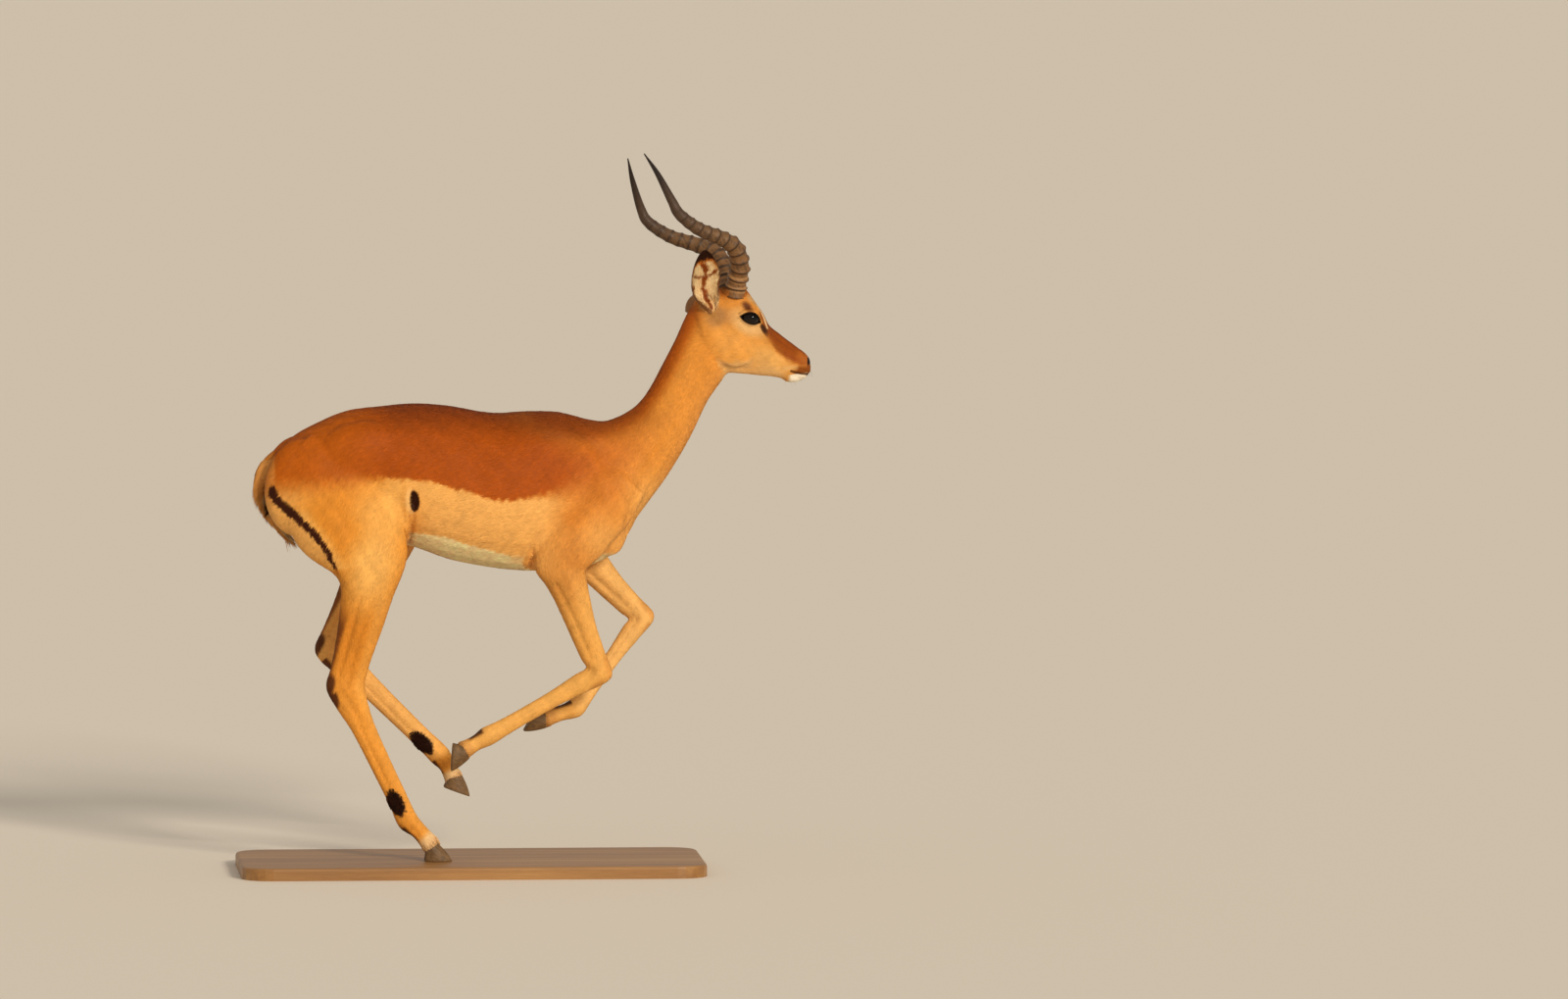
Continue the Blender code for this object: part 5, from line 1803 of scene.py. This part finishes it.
# %% Hair round the roots of the horns
local = to_head(triangle_centre)
across = np.stack([local[:, 0] - 50, np.abs(local[:, 1]) - 30, local[:, 2] - 50], 1)
from_root = np.linalg.norm(across, axis=1)
_, roots, normals, _ = scatter((from_root > 12) & (from_root < 26) & ~triangle_on_ear, 1400)
ways = unit(lie_of_hair(roots, normals) * 0.3 + normals * 0.12 + matrix @ np.array([-0.15, 0, 0.9]))
tone = np.array((184, 112, 48)) * rng.uniform(0.85, 1.15, len(roots))[:, None]
spikes(
    "hair_horn_roots", roots, normals, ways, rng.uniform(3.0, 5.5, len(roots)), rng.uniform(0.6, 1.0, len(roots)),
    rng.uniform(0.2, 0.8, len(roots)), np.full(len(roots), 0.2), tone * 0.9, tone, normals,
)

# %% Whiskers of the chin and lashes of the upper lids
chin_local = to_head(triangle_centre)
chin = (chin_local[:, 0] > 150) & (chin_local[:, 2] < -104) & ~triangle_on_ear
_, roots, normals, _ = scatter(chin, 14)
ways = unit(normals + 0.6 * (matrix @ np.array([0.8, 0, -0.6])))
tone = np.full((len(roots), 3), 60.0)
spikes(
    "hair_chin", roots, normals, ways, rng.uniform(6, 12, len(roots)), rng.uniform(0.3, 0.4, len(roots)),
    rng.uniform(0.5, 2.0, len(roots)), rng.uniform(1, 4, len(roots)), tone, tone,
)
lash_roots = []
lash_ways = []
for mirror in (1, -1):
    for step in np.linspace(-0.75, 0.85, 46):
        a = step * LID_HALF[0]
        up = LID_HALF[1] * (1 - step ** 2) + 0.6
        u = LID_CENTRE[0] + a * math.cos(LID_SLOPE) - up * math.sin(LID_SLOPE)
        v = LID_CENTRE[1] + a * math.sin(LID_SLOPE) + up * math.cos(LID_SLOPE)
        gap = math.hypot(u - EYE_PLACE[0], v - EYE_PLACE[2])
        depth = EYE_PLACE[1] + math.sqrt(max(LID_RADIUS ** 2 - gap ** 2, 0.0))
        lash_roots.append(in_head((u, mirror * depth, v)))
        lash_ways.append(head_matrix().to_3x3() @ Vector((0.35 + 0.4 * step, mirror * 0.95, -0.05)).normalized())
roots = np.array(lash_roots)
ways = unit(np.array(lash_ways))
normals = unit(np.cross(np.cross(ways, np.array([0.0, 0, 1.0])), ways))
tone = np.tile(np.array([24.0, 14, 9]), (len(roots), 1))
spikes(
    "hair_lashes", roots, normals, ways, rng.uniform(6.5, 9.5, len(roots)), np.full(len(roots), 0.6),
    np.full(len(roots), -1.2), np.full(len(roots), -1.5), tone, tone,
)

# %% [markdown]
# ## Eyes
#
# The eye is a dark wet ball with a clear bulge in front. Antelopes have a brown iris, nearly black in
# most light, and a pupil that is a long oval held level. A sphere carries both as a colour in each
# vertex, and the wetness is a smooth shader.

# %% Eyeballs
CORNEA = 1.4
PUPIL = (9.5, 5.4)
IRIS = 13.5


def make_eye(name, mirror):
    """Eyeball with a bulging cornea, its pole turned outwards."""
    bm = bmesh.new()
    bmesh.ops.create_uvsphere(bm, u_segments=64, v_segments=48, radius=EYE_RADIUS)
    look = Vector((0.22, mirror * 0.96, 0.06)).normalized()
    level = Vector((1, 0, -0.20))
    level = (level - look * level.dot(look)).normalized()
    tall = look.cross(level) * -1
    colours = []
    centre = Vector((EYE_PLACE[0], EYE_PLACE[1] * mirror, EYE_PLACE[2]))
    for vertex in bm.verts:
        local = vertex.co.copy()
        off = math.hypot(local.x, local.y)
        if local.z > 0:
            vertex.co.z += CORNEA * math.exp(-(off / 10.5) ** 2)
        inner = math.hypot(local.x / PUPIL[0], local.y / PUPIL[1])
        pupil = 1 - float(ramp(inner, 0.85, 1.1))
        edge = float(ramp(off, IRIS - 1.5, IRIS + 1))
        tone = np.array([22.0, 11, 6]) * (1 - edge) + np.array([20.0, 12, 9]) * edge
        tone = tone * (1 - pupil) + np.array([5.0, 4, 4]) * pupil
        colours.append(tone)
        here = vertex.co
        vertex.co = in_head(centre + level * here.x + tall * here.y + look * here.z)
    obj = object_from(name, bm)
    write_colours(obj.data, "tint", linear(np.array(colours)))
    return obj


def wet_eye():
    box = PaintBox("wet_eye", Roughness=0.08, IOR=1.33)
    fibres = box.noise(box.place(), 700.0, 3.0)
    box.set(Base_Color=box.brighten(box.attribute("tint"), 0.75 + fibres * 0.5))
    return box.material


eye_material = wet_eye()
eyes = [make_eye("eyeball_right", -1), make_eye("eyeball_left", 1)]
for eye in eyes:
    eye.data.materials.append(eye_material)
print("eyes", [round(value, 3) for value in eyes[0].dimensions])

# %% [markdown]
# ## Horns
#
# Only rams have horns: sheaths of horn over a bony core, which rise, sweep back and out, and turn up
# again at smooth tips. Rings of growth swell out on the front, strong near the skull and gone in the
# last third. A loft with many rings along a curve carries these ridges as real shape. A screw
# modifier would make a helix, but the spacing and the fading ridges need their own law.

# %% Ridged sheaths
HORN = (
    (49, 26, 36, 20),
    (51, 34, 60, 20),
    (52, 56, 95, 19.5),
    (39, 76, 126, 17.5),
    (11, 91, 143, 15.5),
    (-40, 107, 162, 13.4),
    (-80, 118, 190, 11.4),
    (-95, 119, 216, 9.2),
    (-116, 97, 270, 5.4),
    (-133, 64, 312, 1.2),
)
HORN_RINGS = 210
HORN_SIDES = 40
HORN_RIDGES = 13
RIDGED_LENGTH = 0.66
RIDGE_FRONT = 0.155
RIDGE_BACK = 0.045


def make_horn(name, mirror):
    """One horn with sharp-crested ridges that fade towards the tip."""
    path = np.array(curve_through(HORN, 24))
    steps = np.linalg.norm(np.diff(path[:, :3], axis=0), axis=1)
    length = np.concatenate([[0], np.cumsum(steps)])
    shares = np.linspace(0, 1, HORN_RINGS)
    rows = np.stack([np.interp(shares * length[-1], length, path[:, k]) for k in range(4)], 1)
    rings = []
    tones = []
    for k, share in enumerate(shares):
        here = Vector(rows[k, :3])
        ahead = Vector(rows[min(k + 1, HORN_RINGS - 1), :3])
        behind = Vector(rows[max(k - 1, 0), :3])
        along = (ahead - behind).normalized()
        fore = Vector((0, 1, 0)).cross(along).normalized()
        outward = along.cross(fore).normalized()
        fade = max(0.0, 1 - share / RIDGED_LENGTH) ** 0.35
        ring = []
        for n in range(HORN_SIDES):
            angle = math.tau * n / HORN_SIDES
            slant = 0.18 * math.cos(angle - 0.6)
            phase = HORN_RIDGES * share / RIDGED_LENGTH + slant * 0.5
            offset = abs((phase % 1.0) - 0.5) * 2
            crest = math.exp(-((1 - offset) / 0.19) ** 2)
            # Where the painted shade under each ridge goes: a band just below its crest, towards the root.
            under = math.exp(-(((phase + 0.62) % 1.0 - 0.5) / 0.10) ** 2)
            facing = 0.5 + 0.5 * math.cos(angle - 0.5)
            height = RIDGE_BACK + (RIDGE_FRONT - RIDGE_BACK) * facing
            swell = 0.035 * math.cos(math.tau * phase)
            radius = rows[k, 3] * (0.965 + fade * (height * crest + swell))
            point = here + fore * radius * math.cos(angle) + outward * radius * math.sin(angle)
            ring.append(in_head((point.x, point.y * mirror, point.z)))
            tones.append((share, crest * fade, under * fade, angle))
        rings.append(ring)
    bm = bmesh.new()
    loft(bm, rings)
    spots = np.array([point for ring in rings for point in ring])
    order = []
    for vertex in bm.verts:
        order.append(int(((spots - np.array(vertex.co)) ** 2).sum(1).argmin()))
    obj = object_from(name, bm)
    share, crest, under, _ = np.array(tones)[order].T
    tint = np.tile(np.array([128.0, 88, 50]), (len(share), 1))
    paint(tint, ramp(share, 0.10, 0.40), (116, 84, 52))
    paint(tint, ramp(share, 0.40, 0.66), (76, 56, 40))
    paint(tint, ramp(share, 0.66, 0.92), (36, 27, 21))
    paint(tint, 0.35 * crest, (84, 56, 34))
    # A near-black band under each ridge is painted shade, where the ridge shades the horn below it.
    paint(tint, 0.95 * under, (34, 22, 14))
    paint(tint, 0.5 * ramp(grain(spots[order], 9, 12), 0.1, 0.9), (62, 44, 30))
    bands = sum(np.exp(-((share - at) / 0.006) ** 2) for at in (0.028, 0.055, 0.085, 0.112))
    paint(tint, 0.55 * bands, (206, 158, 104))
    write_colours(obj.data, "tint", linear(tint))
    return obj


def horn_sheath():
    box = PaintBox("horn_sheath", Specular_IOR_Level=0.3)
    place = box.place()
    fibres = box.noise(box.stretched(place, 0.35, (0.002, 0.002, 0.03)), 1.0, 4.0)
    stains = box.noise(place, 70.0, 4.0, 0.6)
    colour = box.brighten(box.attribute("tint"), 0.42 + fibres * 0.60 + stains * 0.55)
    height = fibres * 0.6 + stains * 0.4
    box.set(Base_Color=colour, Roughness=0.38 + fibres * 0.24, Normal=box.bump(height, 0.6, 0.0018))
    return box.material


horn_material = horn_sheath()
horns = [make_horn("sheath_right", -1), make_horn("sheath_left", 1)]
for horn in horns:
    horn.data.materials.append(horn_material)
print("horn faces", len(horns[0].data.polygons))

# %% [markdown]
# ## Hooves
#
# Each foot stands on two pointed claws with a cleft between them. Impala have no dewclaws behind
# the fetlock. A claw is a loft from its sole up to the coronet: full on the outside, flat towards the
# cleft, its wall leaning back. Fine growth rings run round the wall.

# %% Claws
SOLE_LENGTH = 52
TOE_HEIGHT = 34
TOE_SETBACK = 28
HEEL_HEIGHT = 14
HEEL_OVERHANG = 7
HEEL_SKIRT = 2
CLAW_HALF_WIDTH = 10.3
CLAW_SPACING = 11.6
CLAW_SIDES = 36
BOARD_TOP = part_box("stand_base")[1].z / MM
SOLE_LEVEL = BOARD_TOP + 0.3
HOOF_PITCH = {"hind_right": 0, "hind_left": -20, "fore_right": -94, "fore_left": -122}
CLAW_LEVELS = (0.0, 0.03, 0.10, 0.22, 0.36, 0.5, 0.64, 0.78, 0.90, 0.97, 1.0)


def hoof_frame(foot):
    """Frame of one foot, its origin on the sole under the heel."""
    coronet = Vector(JOINTS[foot][4])
    turn = Matrix.Rotation(math.radians(-HOOF_PITCH[foot]), 4, "Y")
    middle = Vector(((SOLE_LENGTH - TOE_SETBACK - HEEL_OVERHANG) / 2, 0, (TOE_HEIGHT + HEEL_HEIGHT) / 2))
    if HOOF_PITCH[foot] == 0:
        coronet.z = SOLE_LEVEL + middle.z
    return Matrix.Translation(coronet) @ turn @ Matrix.Translation(-middle)


def make_claw(name, place, side):
    """One claw: ten levels from the sole to the coronet, rounded at both."""
    front = SOLE_LENGTH - TOE_SETBACK
    slope = (TOE_HEIGHT - HEEL_HEIGHT) / (front + HEEL_OVERHANG)
    rings = []
    for level in CLAW_LEVELS:
        tuck = 1 - 0.035 * (level == 0.0) - 0.05 * max(0.0, level - 0.9) * 10 - 0.012 * math.cos(level * 40)
        heel = -HEEL_SKIRT * (1 - level)
        toe = SOLE_LENGTH - TOE_SETBACK * (1 - (1 - level) ** 1.12)
        ring = []
        for n in range(CLAW_SIDES):
            angle = math.tau * n / CLAW_SIDES
            forward = math.cos(angle)
            x = (heel + toe) / 2 + (toe - heel) / 2 * forward * tuck
            point_in = 1 - 0.5 * max(forward, 0.0) ** 2
            reach = math.sin(angle) * CLAW_HALF_WIDTH * point_in * tuck
            reach *= 0.9 if reach < 0 else 1.0
            height = (TOE_HEIGHT + slope * (x - front)) * level
            ring.append(place @ Vector((x, side * (CLAW_SPACING + reach), height)))
        rings.append(ring)
    bm = bmesh.new()
    loft(bm, rings)
    return object_from(name, bm)


def hoof_horn():
    box = PaintBox("hoof_horn", Specular_IOR_Level=0.3)
    place = box.place()
    streaks = box.noise(box.stretched(place, 0.6, (0.012, 0.003, 0.004)), 1.0, 4.0)
    wear = box.noise(place, 120.0, 4.0, 0.6)
    colour = box.mix(streaks, shade(60, 42, 26), shade(142, 108, 68))
    colour = box.brighten(colour, 0.55 + wear * 0.9)
    box.set(Base_Color=colour, Roughness=0.42 + wear * 0.25, Normal=box.bump(streaks, 0.4, 0.0008))
    return box.material


hoof_material = hoof_horn()
claws = {}
for foot in JOINTS:
    for side_name, side in (("right", -1), ("left", 1)):
        inner = side_name not in foot
        ending = "_inner" if inner else "_outer"
        claws["hoof_" + foot + ending] = make_claw("claw_" + foot + ending, hoof_frame(foot), side)
for claw in claws.values():
    claw.data.materials.append(hoof_material)
print("claws", len(claws))

# %% [markdown]
# ## The board
#
# The stand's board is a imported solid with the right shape, so it stays, and only gets its finish:
# oiled oak, whose grain runs the board's length in uneven bands with fine dark pores.

# %% Oiled oak


def oiled_oak():
    box = PaintBox("oiled_oak", Coat_Weight=0.15, Coat_Roughness=0.3)
    place = box.place()
    warp = box.noise(box.stretched(place, 0.0, (0.5, 0.12, 0.12)), 1.0, 3.0)
    bands = box.noise(box.stretched(place, 0.0, (0.9, 0.022, 0.03)), 1.0, 4.0, 0.6)
    pores = box.noise(box.stretched(place, 0.0, (0.03, 0.0012, 0.002)), 1.0, 2.0)
    grain_of = bands * 0.7 + warp * 0.3
    stops = {"stops": ((0.30, linear((126, 84, 40))), (0.5, linear((158, 112, 58))), (0.68, linear((184, 138, 78))))}
    colour = box.node("ShaderNodeValToRGB", stops, {0: grain_of})
    colour = box.brighten(colour, 0.8 + pores * 0.4)
    box.set(Base_Color=colour, Roughness=0.36 + pores * 0.22, Normal=box.bump(pores, 0.25, 0.0005))
    return box.material


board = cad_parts["stand_base"]
board.data.materials.clear()
board.data.materials.append(oiled_oak())
print("board top", round(BOARD_TOP, 1), "mm")

# %% [markdown]
# ## Joining the frame
#
# Each piece rides on the still body, and the imported solids it stands for are hidden. The skin
# replaces all nodes of flesh at once.

# %% Rides and hidden nodes
FLESH_NODES = ["head", "neck", "chest", "belly", "hindquarters", "tail", "ear_right", "ear_left"]
for foot in JOINTS:
    FLESH_NODES += ["leg_" + foot + "_upper", "leg_" + foot + "_lower"]
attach(skin, "root")
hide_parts(*FLESH_NODES)
for piece in coat_pieces:
    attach(piece, "root")
for piece, node in zip(eyes, ("eye_right", "eye_left")):
    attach(piece, "root")
    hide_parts(node)
for piece, node in zip(horns, ("horn_right", "horn_left")):
    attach(piece, "root")
    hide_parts(node)
for node, piece in claws.items():
    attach(piece, "root")
    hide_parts(node)
print("flesh nodes replaced", len(FLESH_NODES))

# %% [markdown]
# ## Studio
#
# A pale floor, a soft key light from the right of the camera, low as a late sun, and a bright even
# world that fills the shadows. The camera is far away with a long lens, as wildlife is seen.

# %% Floor, lights and camera
FLOOR_HALF = 150.0
floor_bm = bmesh.new()
bmesh.ops.create_grid(floor_bm, x_segments=1, y_segments=1, size=FLOOR_HALF / MM)
floor = object_from("studio_floor", floor_bm, smooth=False)
floor_box = PaintBox("pale_floor", Roughness=0.9)
floor_box.set(Base_Color=shade(238, 228, 212))
floor.data.materials.append(floor_box.material)

world = bpy.data.worlds.new("studio")
world.use_nodes = True
world.node_tree.nodes["Background"].inputs[0].default_value = (1.0, 0.94, 0.86, 1.0)
world.node_tree.nodes["Background"].inputs[1].default_value = 0.44
bpy.context.scene.world = world

KEY_AZIMUTH = math.radians(24)
KEY_ELEVATION = math.radians(22)
key_data = bpy.data.lights.new("key", "SUN")
key_data.energy = 2.35
key_data.angle = math.radians(12)
key_data.color = (1.0, 0.91, 0.78)
key = bpy.data.objects.new("key", key_data)
towards = Vector((math.sin(KEY_AZIMUTH) * math.cos(KEY_ELEVATION), -math.cos(KEY_AZIMUTH) * math.cos(KEY_ELEVATION),
                  math.sin(KEY_ELEVATION)))
key.rotation_euler = towards.to_track_quat("Z", "Y").to_euler()
bpy.context.scene.collection.objects.link(key)

CAMERA_AZIMUTH = math.radians(-4)
CAMERA_ELEVATION = math.radians(4)
CAMERA_DISTANCE = 33.0
FRAME_WIDTH = 3.04
AIM = Vector((0.6095, 0.0, 0.7173))
camera_data = bpy.data.cameras.new("camera")
camera_data.lens = 36 * CAMERA_DISTANCE / FRAME_WIDTH
camera_data.clip_end = 500
camera = bpy.data.objects.new("camera", camera_data)
back = Vector((math.sin(CAMERA_AZIMUTH) * math.cos(CAMERA_ELEVATION),
               -math.cos(CAMERA_AZIMUTH) * math.cos(CAMERA_ELEVATION), math.sin(CAMERA_ELEVATION)))
camera.location = AIM + back * CAMERA_DISTANCE
camera.rotation_euler = back.to_track_quat("Z", "Y").to_euler()
bpy.context.scene.collection.objects.link(camera)
bpy.context.scene.camera = camera
bpy.context.scene.view_settings.view_transform = "Standard"
print("lens", round(camera_data.lens), "mm")
